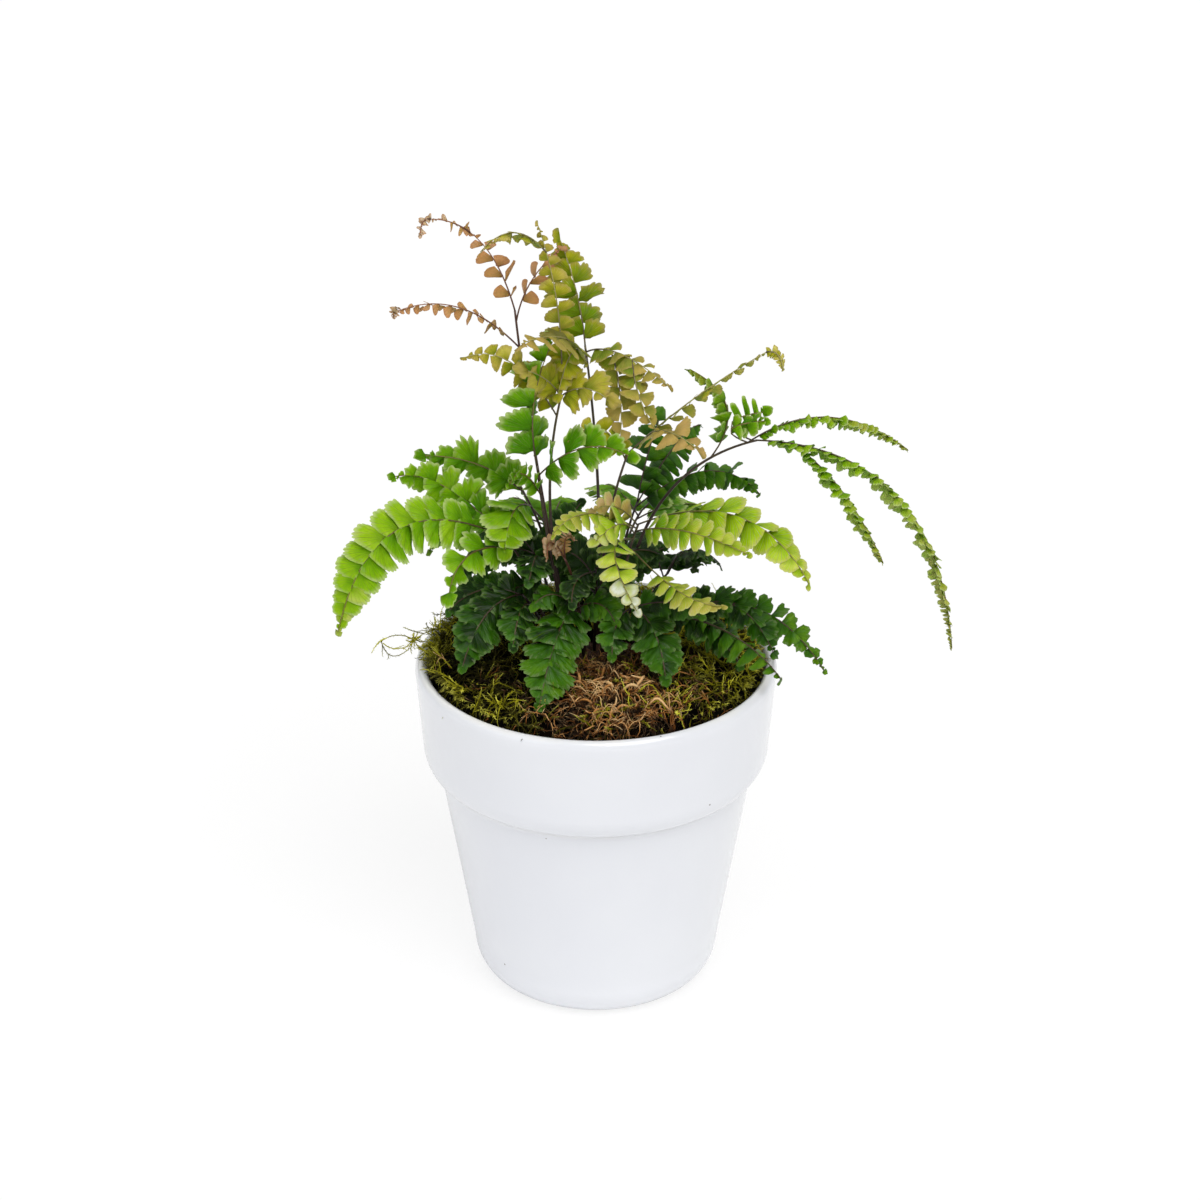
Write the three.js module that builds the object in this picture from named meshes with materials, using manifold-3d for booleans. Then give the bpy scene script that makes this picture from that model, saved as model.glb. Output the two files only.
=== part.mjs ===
// A rosy maidenhair fern growing in a white glazed flower pot, dressed with moss.
// Millimetres, +Z up. The origin is the centre of the pot's foot, and the viewer stands on the -Y side.
import * as THREE from "three";
import { mergeVertices } from "three/addons/utils/BufferGeometryUtils.js";
import Module from "manifold-3d";

const wasm = await Module();
wasm.setup();

// Pot
const POT_HEIGHT = 136;
const RIM_RADIUS = 70; // widest, just under the lip
const RIM_WALL = 4.8;
const LIP_ROUND = 3.5;
const COLLAR_HEIGHT = 44; // the thick band under the rim
const COLLAR_TAPER = 2.4; // the band narrows downwards by this much
const SHOULDER = 6; // how far the band stands proud of the body
const SHOULDER_ROUND = 10;
const FOOT_RADIUS = 37;
const BODY_FOOT_RADIUS = 48.6; // the body where its rounded foot begins
const FOOT_ROUND = 14;
const WALL = 5;
const FLOOR = 7;
const POT_SIDES = 32;
const RUNNING_GAP = 0.35; // air between two pieces that touch

// Planting: heights below are measured from the rim's plane
const SOIL_EDGE = -9;
const SOIL_CROWN = -3.5;
const SOIL_SIDES = 24;
const CROWN_RADIUS = 22; // bare ground round the stalks, inside the moss
const MOSS_EDGE = -0.5; // top of the moss at the pot's wall
const MOSS_SWELL = 6; // how much higher it stands half way in
const MOSS_TUFT = 1.3;
const MOSS_LEAST = 3; // its least thickness
const DRY_FROM = THREE.MathUtils.degToRad(-110);
const DRY_TO = THREE.MathUtils.degToRad(-50);
const MOSS_SEAM = 0.01; // radians between the green mat and the dry one
const ROOTSTOCK_TOP = 4;
const ROOTSTOCK_CENTRE = -6;
const STALK_SEAT = -3; // the stalks' feet stand this high, in holes in the rootstock
const FOOT_HOLE_DEPTH = 12;
const FOOT_HOLE_RADIUS = 1.7; // to its corners
const FOOT_HOLE_SIDES = 4;

// Fronds
const STALK_RADIUS = 0.8;
const STALK_SIDES = 5;
const RIB_HALF_WIDTH = 0.65;
const RIB_HALF_THICK = 0.48;
const BLADE_HALF_THICK = 0.32;
const LEAFLET_SLENDER = 0.66; // a leaflet's width against its length
const LEAFLET_LEAN = 0.16; // leaflets lean this far towards the tip
const BLADE_SAG = 0.012; // a leaflet's end sinks by this times its distance squared
const BROAD_LEAFLET = 10.2; // from this length on, a leaflet's outer edge has a third corner
const FIRST_SHARE = 0.68; // the first leaflet against the longest
const GROWTH = 0.6; // how fast they lengthen from there
const TAPER_START = 3; // the higher, the later they begin to dwindle
const TAPER_END = 0.7; // the lower, the blunter the pinna's end
const LAST_REACH = 0.9;
const TIP_SHARE = 0.5; // the bare tip, in leaflets' widths
// A leaflet's outer corners, as shares of its width and its length
const SLIM_OUTLINE = [
  [0.1, 0.86],
  [0.85, 0.92],
];
const BROAD_OUTLINE = [
  [0.14, 0.8],
  [0.48, 1],
  [0.88, 0.78],
];
const CLEAR = 1.25; // leaflets keep this far from a neighbouring blade
const KIN_CLEAR = 0.2; // and this far from a rib or stalk of their own frond
const SHRINK_STEP = 0.2; // a crowded leaflet shrinks by this share of its length
const SMALLEST_SHARE = 0.4; // and is left out below this share

const COLOURS = {
  glaze: { color: 0xe9ebee, roughness: 0.22, metalness: 0 },
  soil: { color: 0x2a1d14, roughness: 1, metalness: 0 },
  root: { color: 0x3b2618, roughness: 0.9, metalness: 0 },
  moss: { color: 0x5d6420, roughness: 1, metalness: 0 },
  dryMoss: { color: 0x8a6238, roughness: 1, metalness: 0 },
  rosy: { color: 0xb08050, roughness: 0.6, metalness: 0 },
  gold: { color: 0x9a9a2c, roughness: 0.6, metalness: 0 },
  lime: { color: 0x8cbd35, roughness: 0.55, metalness: 0 },
  green: { color: 0x4f9a24, roughness: 0.55, metalness: 0 },
  deep: { color: 0x2a6420, roughness: 0.5, metalness: 0 },
};

// Which way a blade's upper face looks, half way along its rib
const VIEWER = [0, -0.84, 0.55];
const SKY = [0, -0.35, 0.94];
const EDGE = [0, 0.42, 0.91]; // edge-on for the viewer
const LEFT = [-0.45, -0.6, 0.66];
const RIGHT = [0.45, -0.6, 0.66];
const BACK = [0, 0.6, 0.8];
const OUT_LEFT = [-0.8, 0.2, 0.55];
const STALK = -1;

// A frond's stalk rises from foot through via to its top. A pinna leaves the stalk, or another
// pinna by its number, at a share of that one's length, and runs through via to its tip.
// leaf is its longest leaflet, gap the air between two leaflets as a share of one's width,
// and bare the length of rib without leaflets. Places are [x, y, height above the rim].
const FRONDS = [
  {
    name: "frond_rosy_tall",
    tint: "rosy",
    foot: [-9, 6],
    via: [-22, 6, 77],
    top: [-30, 9, 140],
    pinnae: [
      { on: STALK, at: 1, via: [-43, 6, 168], tip: [-66, 2, 175], leaf: 6, gap: 0.8, face: VIEWER, bare: 6 },
      { on: STALK, at: 0.97, via: [-24, 13, 150], tip: [-13, 18, 161], leaf: 6, gap: 0.6, face: SKY, bare: 8 },
      { on: STALK, at: 0.9, via: [-51, 5, 143], tip: [-75, -3, 143], leaf: 5, gap: 0.4, face: SKY, bare: 7 },
    ],
  },
  {
    name: "frond_gold_tall",
    tint: "gold",
    foot: [-6, 2],
    via: [-17, 1, 56],
    top: [-13, 3, 108],
    pinnae: [
      { on: STALK, at: 1, via: [-14, 3, 143], tip: [-21, 2, 176], leaf: 7.6, gap: 0.25, face: VIEWER, bare: 2 },
      { on: 0, at: 0.84, via: [-30, 0, 174], tip: [-42, -4, 168], leaf: 6, gap: 0, face: EDGE, bare: 3 },
      { on: STALK, at: 0.93, via: [-31, -3, 124], tip: [-48, -7, 128], leaf: 7.5, gap: 0.25, face: VIEWER, bare: 3 },
    ],
  },
  {
    name: "frond_green_inner",
    tint: "green",
    foot: [-8, -4],
    via: [-17, -6, 46],
    top: [-22, -6, 84],
    pinnae: [
      { on: STALK, at: 1, via: [-23, -9, 107], tip: [-19, -10, 129], leaf: 14.5, gap: 0.2, face: VIEWER, bare: 3 },
      { on: STALK, at: 0.95, via: [-5, -15, 95], tip: [12, -22, 95], leaf: 11, gap: 0, face: VIEWER, bare: 6 },
      { on: STALK, at: 0.86, via: [-27, -14, 84], tip: [-32, -21, 83], leaf: 6, gap: 0, face: VIEWER, bare: 2 },
    ],
  },
  {
    name: "frond_bronze_tall",
    tint: "gold",
    foot: [0, 9],
    via: [1, 12, 61],
    top: [-4, 14, 124],
    pinnae: [
      { on: STALK, at: 1, via: [-8, 18, 143], tip: [-14, 21, 163], leaf: 8, gap: 0.2, face: VIEWER, bare: 2 },
      { on: STALK, at: 0.98, via: [9, 6, 124], tip: [27, -4, 115], leaf: 7.5, gap: 0, face: SKY, bare: 4 },
      { on: STALK, at: 0.95, via: [-12, -3, 134], tip: [-27, -21, 139], leaf: 11, gap: 0, face: SKY, bare: 6 },
      { on: 1, at: 0.3, via: [9, 0, 111], tip: [9, -8, 95], leaf: 8, gap: 0.2, face: VIEWER, bare: 2 },
    ],
  },
  {
    name: "frond_forked",
    tint: "gold",
    foot: [3, -1],
    via: [3, -4, 46],
    top: [12, -4, 88],
    pinnae: [
      { on: STALK, at: 1, via: [37, -9, 111], tip: [70, -13, 129], leaf: 7, gap: 0.5, face: SKY, bare: 8 },
      { on: 0, at: 0.14, via: [26, -18, 103], tip: [37, -32, 102], leaf: 10.5, gap: 0, face: SKY, bare: 4 },
      { on: STALK, at: 0.97, via: [2, -6, 99], tip: [-8, -10, 97], leaf: 6.5, gap: 0.2, face: VIEWER, bare: 3 },
    ],
  },
  {
    name: "frond_arching_right",
    tint: "green",
    foot: [9, 1],
    via: [22, -3, 63],
    top: [60, -8, 95],
    pinnae: [
      { on: STALK, at: 1, via: [112, -19, 77], tip: [135, -22, 15], leaf: 7.5, gap: 0, face: EDGE, bare: 4 },
      { on: STALK, at: 0.97, via: [87, 2, 100], tip: [118, 8, 84], leaf: 7.5, gap: 0, face: EDGE, bare: 5 },
      { on: 0, at: 0.1, via: [91, -17, 79], tip: [107, -28, 54], leaf: 7, gap: 0, face: EDGE, bare: 6 },
      { on: STALK, at: 0.84, via: [49, 2, 104], tip: [35, 8, 117], leaf: 7, gap: 0.1, face: EDGE, bare: 6 },
      { on: STALK, at: 0.96, via: [55, 8, 106], tip: [51, 24, 104], leaf: 10, gap: 0, face: RIGHT, bare: 3 },
    ],
  },
  {
    name: "frond_shaded_back",
    tint: "deep",
    foot: [5, 9],
    via: [9, 17, 30],
    top: [16, 22, 56],
    pinnae: [
      { on: STALK, at: 1, via: [19, 24, 71], tip: [24, 27, 88], leaf: 12.5, gap: 0.2, face: VIEWER, bare: 3 },
      { on: STALK, at: 0.96, via: [42, 24, 68], tip: [63, 18, 61], leaf: 10, gap: 0, face: SKY, bare: 5 },
      { on: STALK, at: 0.98, via: [31, 34, 75], tip: [41, 46, 78], leaf: 9, gap: 0, face: SKY, bare: 5 },
    ],
  },
  {
    name: "frond_lime_right",
    tint: "lime",
    foot: [7, -6],
    via: [10, -8, 35],
    top: [16, -9, 61],
    pinnae: [
      { on: STALK, at: 1, via: [53, -24, 71], tip: [79, -38, 50], leaf: 13, gap: 0, face: VIEWER, bare: 8 },
      { on: STALK, at: 0.95, via: [33, -30, 68], tip: [56, -42, 64], leaf: 8.5, gap: 0.1, face: VIEWER, bare: 6 },
      { on: STALK, at: 0.9, via: [7, -27, 57], tip: [15, -42, 40], leaf: 9.5, gap: 0, face: VIEWER, bare: 6 },
      { on: STALK, at: 0.84, via: [31, -33, 46], tip: [48, -43, 38], leaf: 8.5, gap: 0, face: SKY, bare: 12 },
      { on: STALK, at: 0.97, via: [-3, -21, 71], tip: [-16, -31, 67], leaf: 7, gap: 0.1, face: SKY, bare: 6 },
    ],
  },
  {
    name: "frond_young_coil",
    tint: "rosy",
    foot: [-4, -7],
    via: [-7, -11, 30],
    top: [-12, -17, 51],
    pinnae: [
      { on: STALK, at: 1, via: [-17, -22, 55], tip: [-20, -28, 49], leaf: 5, gap: 0, face: VIEWER, bare: 1 },
      { on: STALK, at: 0.97, via: [-9, -21, 57], tip: [-4, -26, 54], leaf: 4.5, gap: 0, face: SKY, bare: 3 },
    ],
  },
  {
    name: "frond_front",
    tint: "deep",
    foot: [-3, -11],
    via: [-6, -13, 16],
    top: [-8, -15, 30],
    pinnae: [
      { on: STALK, at: 1, via: [-15, -32, 24], tip: [-21, -50, 6], leaf: 12.5, gap: 0, face: VIEWER, bare: 1 },
      { on: STALK, at: 0.97, via: [-16, -18, 36], tip: [-23, -22, 34], leaf: 8.5, gap: 0, face: SKY, bare: 2 },
      { on: STALK, at: 0.94, via: [1, -22, 34], tip: [7, -29, 30], leaf: 8.5, gap: 0, face: VIEWER, bare: 2 },
    ],
  },
  {
    name: "frond_front_left",
    tint: "deep",
    foot: [-12, -7],
    via: [-20, -9, 18],
    top: [-28, -10, 32],
    pinnae: [
      { on: STALK, at: 1, via: [-41, -22, 30], tip: [-50, -36, 15], leaf: 12, gap: 0, face: VIEWER, bare: 2 },
      { on: STALK, at: 0.98, via: [-43, -10, 34], tip: [-56, -10, 25], leaf: 9, gap: 0, face: VIEWER, bare: 4 },
      { on: STALK, at: 0.8, via: [-28, -20, 31], tip: [-31, -32, 22], leaf: 9.5, gap: 0, face: VIEWER, bare: 4 },
    ],
  },
  {
    name: "frond_front_right",
    tint: "deep",
    foot: [4, -11],
    via: [9, -15, 18],
    top: [14, -18, 31],
    pinnae: [
      { on: STALK, at: 1, via: [22, -28, 25], tip: [26, -39, 12], leaf: 12, gap: 0, face: VIEWER, bare: 1 },
      { on: STALK, at: 0.97, via: [8, -28, 29], tip: [6, -37, 20], leaf: 8.5, gap: 0, face: VIEWER, bare: 3 },
      { on: STALK, at: 0.96, via: [27, -21, 34], tip: [39, -26, 31], leaf: 8.5, gap: 0, face: VIEWER, bare: 3 },
    ],
  },
  {
    name: "frond_low_right",
    tint: "deep",
    foot: [12, -4],
    via: [22, -6, 15],
    top: [32, -8, 23],
    pinnae: [
      { on: STALK, at: 1, via: [62, -13, 27], tip: [87, -19, 4], leaf: 8.5, gap: 0.1, face: VIEWER, bare: 4 },
      { on: STALK, at: 0.92, via: [52, -25, 22], tip: [70, -34, 8], leaf: 11, gap: 0.1, face: VIEWER, bare: 6 },
    ],
  },
  {
    name: "frond_low_back_right",
    tint: "deep",
    foot: [13, 4],
    via: [20, 8, 19],
    top: [28, 11, 31],
    pinnae: [
      { on: STALK, at: 1, via: [37, 13, 40], tip: [48, 12, 34], leaf: 8, gap: 0, face: EDGE, bare: 3 },
      { on: STALK, at: 0.97, via: [34, 26, 33], tip: [39, 42, 18], leaf: 11, gap: 0, face: BACK, bare: 4 },
      { on: STALK, at: 0.93, via: [20, 28, 38], tip: [16, 44, 31], leaf: 10, gap: 0, face: BACK, bare: 4 },
    ],
  },
  {
    name: "frond_low_inner",
    tint: "deep",
    foot: [-14, 5],
    via: [-18, 6, 24],
    top: [-23, 4, 42],
    pinnae: [
      { on: STALK, at: 1, via: [-39, 7, 43], tip: [-55, 4, 33], leaf: 9.5, gap: 0, face: SKY, bare: 4 },
      { on: STALK, at: 0.95, via: [-23, -9, 47], tip: [-25, -22, 44], leaf: 9.5, gap: 0, face: SKY, bare: 4 },
      { on: STALK, at: 0.9, via: [-36, 20, 40], tip: [-52, 29, 27], leaf: 10, gap: 0, face: OUT_LEFT, bare: 4 },
    ],
  },
  {
    name: "frond_low_centre",
    tint: "deep",
    foot: [-1, 1],
    via: [0, -4, 24],
    top: [0, -10, 43],
    pinnae: [
      { on: STALK, at: 1, via: [7, -22, 47], tip: [14, -31, 41], leaf: 8.5, gap: 0, face: SKY, bare: 3 },
      { on: STALK, at: 0.96, via: [-7, -20, 43], tip: [-9, -29, 38], leaf: 8, gap: 0, face: SKY, bare: 3 },
      { on: STALK, at: 0.9, via: [12, -4, 47], tip: [24, -2, 45], leaf: 9, gap: 0, face: SKY, bare: 4 },
      { on: STALK, at: 0.85, via: [-9, -3, 46], tip: [-20, -2, 46], leaf: 10, gap: 0, face: VIEWER, bare: 2 },
    ],
  },
  {
    name: "frond_bright_left",
    tint: "green",
    foot: [-15, 0],
    via: [-24, 0, 30],
    top: [-34, 0, 51],
    pinnae: [
      { on: STALK, at: 1, via: [-74, -18, 63], tip: [-95, -34, 25], leaf: 16, gap: 0, face: VIEWER, bare: 6 },
      { on: STALK, at: 0.97, via: [-57, 9, 68], tip: [-76, 6, 74], leaf: 11, gap: 0, face: VIEWER, bare: 7 },
      { on: STALK, at: 0.9, via: [-47, -16, 52], tip: [-55, -27, 41], leaf: 12, gap: 0, face: LEFT, bare: 5 },
    ],
  },
  {
    name: "frond_bright_inner",
    tint: "green",
    foot: [-10, 10],
    via: [-18, 13, 38],
    top: [-28, 14, 64],
    pinnae: [
      { on: STALK, at: 1, via: [-45, 17, 74], tip: [-65, 14, 79], leaf: 11.5, gap: 0.1, face: VIEWER, bare: 4 },
      { on: STALK, at: 0.9, via: [-28, -6, 69], tip: [-36, -24, 58], leaf: 13.5, gap: 0, face: LEFT, bare: 8 },
      { on: STALK, at: 0.95, via: [-36, 28, 66], tip: [-49, 42, 54], leaf: 11, gap: 0, face: BACK, bare: 4 },
    ],
  },
  {
    name: "frond_back_left",
    tint: "green",
    foot: [-5, 13],
    via: [-13, 25, 26],
    top: [-21, 36, 42],
    pinnae: [
      { on: STALK, at: 1, via: [-34, 60, 40], tip: [-41, 79, 15], leaf: 14, gap: 0, face: BACK, bare: 3 },
      { on: STALK, at: 0.95, via: [-45, 44, 40], tip: [-66, 46, 24], leaf: 11, gap: 0, face: BACK, bare: 5 },
      { on: STALK, at: 0.9, via: [-14, 54, 42], tip: [-13, 72, 32], leaf: 10, gap: 0, face: BACK, bare: 5 },
    ],
  },
  {
    name: "frond_back_right",
    tint: "green",
    foot: [2, 13],
    via: [10, 30, 28],
    top: [18, 44, 42],
    pinnae: [
      { on: STALK, at: 1, via: [30, 66, 38], tip: [36, 84, 12], leaf: 14, gap: 0, face: BACK, bare: 3 },
      { on: STALK, at: 0.95, via: [6, 64, 44], tip: [1, 84, 28], leaf: 10, gap: 0, face: BACK, bare: 5 },
      { on: STALK, at: 0.92, via: [40, 54, 40], tip: [59, 62, 22], leaf: 10, gap: 0, face: BACK, bare: 5 },
    ],
  },
];

const vector = (place) => new THREE.Vector3(...place);

// A closed geometry as a solid that can be joined and cut
function solidFrom(geometry) {
  const bare = geometry.clone();
  for (const name of Object.keys(bare.attributes)) {
    if (name !== "position") bare.deleteAttribute(name);
  }
  const merged = mergeVertices(bare, 1e-4);
  return new wasm.Manifold(
    new wasm.Mesh({
      numProp: 3,
      vertProperties: new Float32Array(merged.attributes.position.array),
      triVerts: new Uint32Array(merged.index.array),
    }),
  );
}

// A closed solid from loose points and the corners of its triangles
function solidOf(positions, corners) {
  const geometry = new THREE.BufferGeometry();
  geometry.setAttribute("position", new THREE.Float32BufferAttribute(positions, 3));
  geometry.setIndex(corners);
  return solidFrom(geometry);
}

function meshFrom(solid, name, look) {
  const made = solid.getMesh();
  const geometry = new THREE.BufferGeometry();
  geometry.setAttribute("position", new THREE.BufferAttribute(new Float32Array(made.vertProperties), 3));
  geometry.setIndex(new THREE.BufferAttribute(new Uint32Array(made.triVerts), 1));
  geometry.computeVertexNormals();
  const mesh = new THREE.Mesh(geometry, new THREE.MeshStandardMaterial(look));
  mesh.name = name;
  return mesh;
}

// A profile of [radius, height] points turned about the Z axis
function turned(profile, sides) {
  const points = profile.map(([radius, height]) => new THREE.Vector2(radius, height));
  const geometry = new THREE.LatheGeometry(points, sides);
  geometry.rotateX(Math.PI / 2);
  return solidFrom(geometry);
}

// A quarter round between two profile points, leaving the first one level or upright
function quarter([r0, z0], [r1, z1], steps, leavesLevel) {
  return Array.from({ length: steps + 1 }, (_, i) => {
    const a = (i / steps) * (Math.PI / 2);
    const slow = 1 - Math.cos(a);
    const fast = Math.sin(a);
    return [r0 + (r1 - r0) * (leavesLevel ? fast : slow), z0 + (z1 - z0) * (leavesLevel ? slow : fast)];
  });
}

// A stalk of small round section along a curve
function tube(curve, radius, sides, steps) {
  const corners = Array.from({ length: sides }, (_, i) => {
    const a = (i / sides) * 2 * Math.PI;
    return new THREE.Vector2(radius * Math.cos(a), radius * Math.sin(a));
  });
  return solidFrom(new THREE.ExtrudeGeometry(new THREE.Shape(corners), { steps, extrudePath: curve }));
}

// The curve from start to end that passes through via
function arc(start, via, end) {
  const control = via.clone().multiplyScalar(2).addScaledVector(start, -0.5).addScaledVector(end, -0.5);
  return new THREE.QuadraticBezierCurve3(start, control, end);
}

const COLLAR_BOTTOM = POT_HEIGHT - COLLAR_HEIGHT;
const COLLAR_RADIUS = RIM_RADIUS - COLLAR_TAPER;
const BODY_TOP_RADIUS = COLLAR_RADIUS - SHOULDER;
const LIP_RADIUS = RIM_RADIUS - RIM_WALL / 2;
const RIM_INNER = RIM_RADIUS - RIM_WALL;
const KNEE_RADIUS = BODY_TOP_RADIUS - WALL + 2; // the inside, level with the band's lower edge
const FLOOR_RADIUS = BODY_FOOT_RADIUS - WALL - 4;

function makePot() {
  const lipBottom = POT_HEIGHT - LIP_ROUND;
  return turned(
    [
      [0, 0],
      ...quarter([FOOT_RADIUS, 0], [BODY_FOOT_RADIUS, FOOT_ROUND], 4, true),
      ...quarter([BODY_TOP_RADIUS, COLLAR_BOTTOM], [COLLAR_RADIUS, COLLAR_BOTTOM + SHOULDER_ROUND], 3, true),
      ...quarter([RIM_RADIUS, lipBottom], [LIP_RADIUS, POT_HEIGHT], 2, false),
      ...quarter([LIP_RADIUS, POT_HEIGHT], [RIM_INNER, lipBottom], 2, true).slice(1),
      [KNEE_RADIUS, COLLAR_BOTTOM],
      [FLOOR_RADIUS, FLOOR],
      [0, FLOOR],
    ],
    POT_SIDES,
  );
}

// The pot's inner wall at a height above or below the rim's plane
function innerRadius(height) {
  const knee = COLLAR_BOTTOM - POT_HEIGHT;
  const share = (height - knee) / (-LIP_ROUND - knee);
  return Math.min(RIM_INNER, KNEE_RADIUS + (RIM_INNER - KNEE_RADIUS) * share);
}

// Flat sides of the soil and the moss reach furthest out at their corners, and the pot's least at
// the middle of its sides
const POT_SIDE_LOSS = RIM_INNER * (1 - Math.cos(Math.PI / POT_SIDES));
const wallClear = (height) => innerRadius(height) - POT_SIDE_LOSS - RUNNING_GAP;

// The soil's top: a low dome round the crown, then nearly level to the wall
const SOIL_STEPS = [
  [CROWN_RADIUS - 6, SOIL_CROWN - 1],
  [CROWN_RADIUS + 3, SOIL_EDGE + 3],
  [CROWN_RADIUS + 18, SOIL_EDGE + 1],
];

function soilTop(radius) {
  const profile = [[0, SOIL_CROWN], ...SOIL_STEPS, [wallClear(SOIL_EDGE), SOIL_EDGE]];
  const next = profile.findIndex(([r]) => r >= radius);
  if (next < 1) return next === 0 ? SOIL_CROWN : SOIL_EDGE;
  const [r0, z0] = profile[next - 1];
  const [r1, z1] = profile[next];
  return THREE.MathUtils.mapLinear(radius, r0, r1, z0, z1);
}

function makeSoil() {
  const floor = FLOOR - POT_HEIGHT + RUNNING_GAP;
  const knee = COLLAR_BOTTOM - POT_HEIGHT;
  const body = turned(
    [
      [0, floor],
      [FLOOR_RADIUS - POT_SIDE_LOSS - RUNNING_GAP, floor],
      [wallClear(knee), knee],
      [wallClear(SOIL_EDGE), SOIL_EDGE],
      ...SOIL_STEPS.toReversed(),
      [0, SOIL_CROWN],
    ],
    SOIL_SIDES,
  );
  return body.subtract(makeKnobs(RUNNING_GAP));
}

// The rootstock: a short creeping rhizome of knobs grown together, [x, y, half length, half width]
const KNOBS = [
  [-7, 3, 13, 13],
  [7, 3, 12, 13],
  [0, -5, 13, 11],
];

function makeKnobs(extra) {
  const knobs = KNOBS.map(([x, y, halfLength, halfWidth]) => {
    const knob = new THREE.IcosahedronGeometry(1, 1);
    knob.scale(halfLength + extra, halfWidth + extra, ROOTSTOCK_TOP - ROOTSTOCK_CENTRE + extra);
    knob.translate(x, y, ROOTSTOCK_CENTRE);
    return solidFrom(knob);
  });
  return knobs.reduce((sum, knob) => sum.add(knob));
}

const MOSS_OUTER = wallClear(SOIL_EDGE);

// The top of the moss at an angle round the pot and a radius, tufted by a formula
function mossTop(angle, radius) {
  const inward = (MOSS_OUTER - radius) / (MOSS_OUTER - CROWN_RADIUS);
  const swell = MOSS_SWELL * Math.sin((Math.PI / 2) * Math.min(1, 1.4 * inward));
  const tufts = Math.sin(9 * angle + 0.4 * radius) * Math.cos(5 * angle - 0.31 * radius);
  return Math.max(soilTop(radius) + RUNNING_GAP + MOSS_LEAST, MOSS_EDGE + swell + MOSS_TUFT * tufts);
}

// A mat of moss over a sector of the soil
function makeMoss(fromAngle, toAngle, rings, spokes) {
  const positions = [];
  const corners = [];
  for (let i = 0; i <= spokes; i++) {
    const angle = fromAngle + ((toAngle - fromAngle) * i) / spokes;
    for (let j = 0; j <= rings; j++) {
      const radius = CROWN_RADIUS + ((MOSS_OUTER - CROWN_RADIUS) * j) / rings;
      const x = radius * Math.cos(angle);
      const y = radius * Math.sin(angle);
      positions.push(x, y, mossTop(angle, radius), x, y, soilTop(radius) + RUNNING_GAP);
    }
  }
  const at = (i, j, low) => 2 * (i * (rings + 1) + j) + low;
  const quad = (a, b, c, d) => corners.push(a, b, c, a, c, d);
  for (let i = 0; i < spokes; i++) {
    for (let j = 0; j < rings; j++) {
      quad(at(i, j, 0), at(i, j + 1, 0), at(i + 1, j + 1, 0), at(i + 1, j, 0));
      quad(at(i, j, 1), at(i + 1, j, 1), at(i + 1, j + 1, 1), at(i, j + 1, 1));
    }
    quad(at(i, 0, 1), at(i, 0, 0), at(i + 1, 0, 0), at(i + 1, 0, 1));
    quad(at(i, rings, 0), at(i, rings, 1), at(i + 1, rings, 1), at(i + 1, rings, 0));
  }
  for (let j = 0; j < rings; j++) {
    quad(at(0, j, 0), at(0, j, 1), at(0, j + 1, 1), at(0, j + 1, 0));
    quad(at(spokes, j, 1), at(spokes, j, 0), at(spokes, j + 1, 0), at(spokes, j + 1, 1));
  }
  return solidOf(positions, corners);
}

// The lowest a leaflet may hang at a place: over the moss or the lip, and freely outside the pot
function groundAt(x, y) {
  const radius = Math.hypot(x, y);
  if (radius > RIM_RADIUS + 2) return -Infinity;
  if (radius > MOSS_OUTER) return RUNNING_GAP;
  return radius < CROWN_RADIUS ? ROOTSTOCK_TOP : mossTop(Math.atan2(y, x), radius);
}

// A pinna: its rib's curve, which lies in one plane, and the blade that its leaflets lie in
class Pinna {
  constructor(curve, { leaf, gap, face, bare }) {
    this.curve = curve;
    this.leaf = leaf;
    this.bare = bare;
    this.length = curve.getLength();
    this.width = LEAFLET_SLENDER * leaf;
    this.count = Math.max(3, Math.round((this.length - bare) / (this.width * (1 + gap))));
    this.pitch = (this.length - bare) / (this.count + TIP_SHARE);
    this.width = Math.min(this.pitch, this.width);

    const { v0, v1, v2 } = curve;
    this.across = v1.clone().sub(v0).cross(v2.clone().sub(v1));
    if (this.across.length() < 1) this.across.copy(vector(face)).cross(v2.clone().sub(v0));
    this.across.normalize();
    const middle = curve.getTangentAt(0.5);
    const upright = this.across.clone().cross(middle);
    this.tilt = Math.atan2(vector(face).dot(this.across), vector(face).dot(upright));
  }

  // The point at a distance along the rib and to one side of it, with the blade's normal there
  at(along, aside) {
    const share = THREE.MathUtils.clamp(along / this.length, 0, 1);
    const point = this.curve.getPointAt(share);
    const tangent = this.curve.getTangentAt(share);
    point.addScaledVector(tangent, along - share * this.length);
    const normal = this.across.clone().cross(tangent).multiplyScalar(Math.cos(this.tilt));
    normal.addScaledVector(this.across, Math.sin(this.tilt));
    const side = normal.clone().cross(tangent);
    point.addScaledVector(side, aside).addScaledVector(normal, -BLADE_SAG * aside * aside);
    return { point, normal };
  }

  // Where leaflet i begins on the rib
  station(i) {
    return this.bare + this.pitch * i;
  }

  // The length of leaflet i: growing from the base, then dwindling to the tip
  reach(i) {
    const t = (i + 0.5) / this.count;
    return this.leaf * (FIRST_SHARE + GROWTH * t) * (1 - t ** TAPER_START) ** TAPER_END + LAST_REACH;
  }

  // The outer corners of leaflet i on one side, at a share of its full length
  leaflet(i, side, share) {
    const reach = this.reach(i) * share;
    const outline = this.leaf < BROAD_LEAFLET ? SLIM_OUTLINE : BROAD_OUTLINE;
    return outline.map(([across, out]) => {
      const along = this.station(i) + across * this.width + LEAFLET_LEAN * out * reach;
      return this.at(along, side * (RIB_HALF_WIDTH + out * reach));
    });
  }
}

// What leaflets keep clear of: ribs and stalks as lines, leaflets as triangles
const grownLines = [];
const grownTriangles = [];

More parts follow.
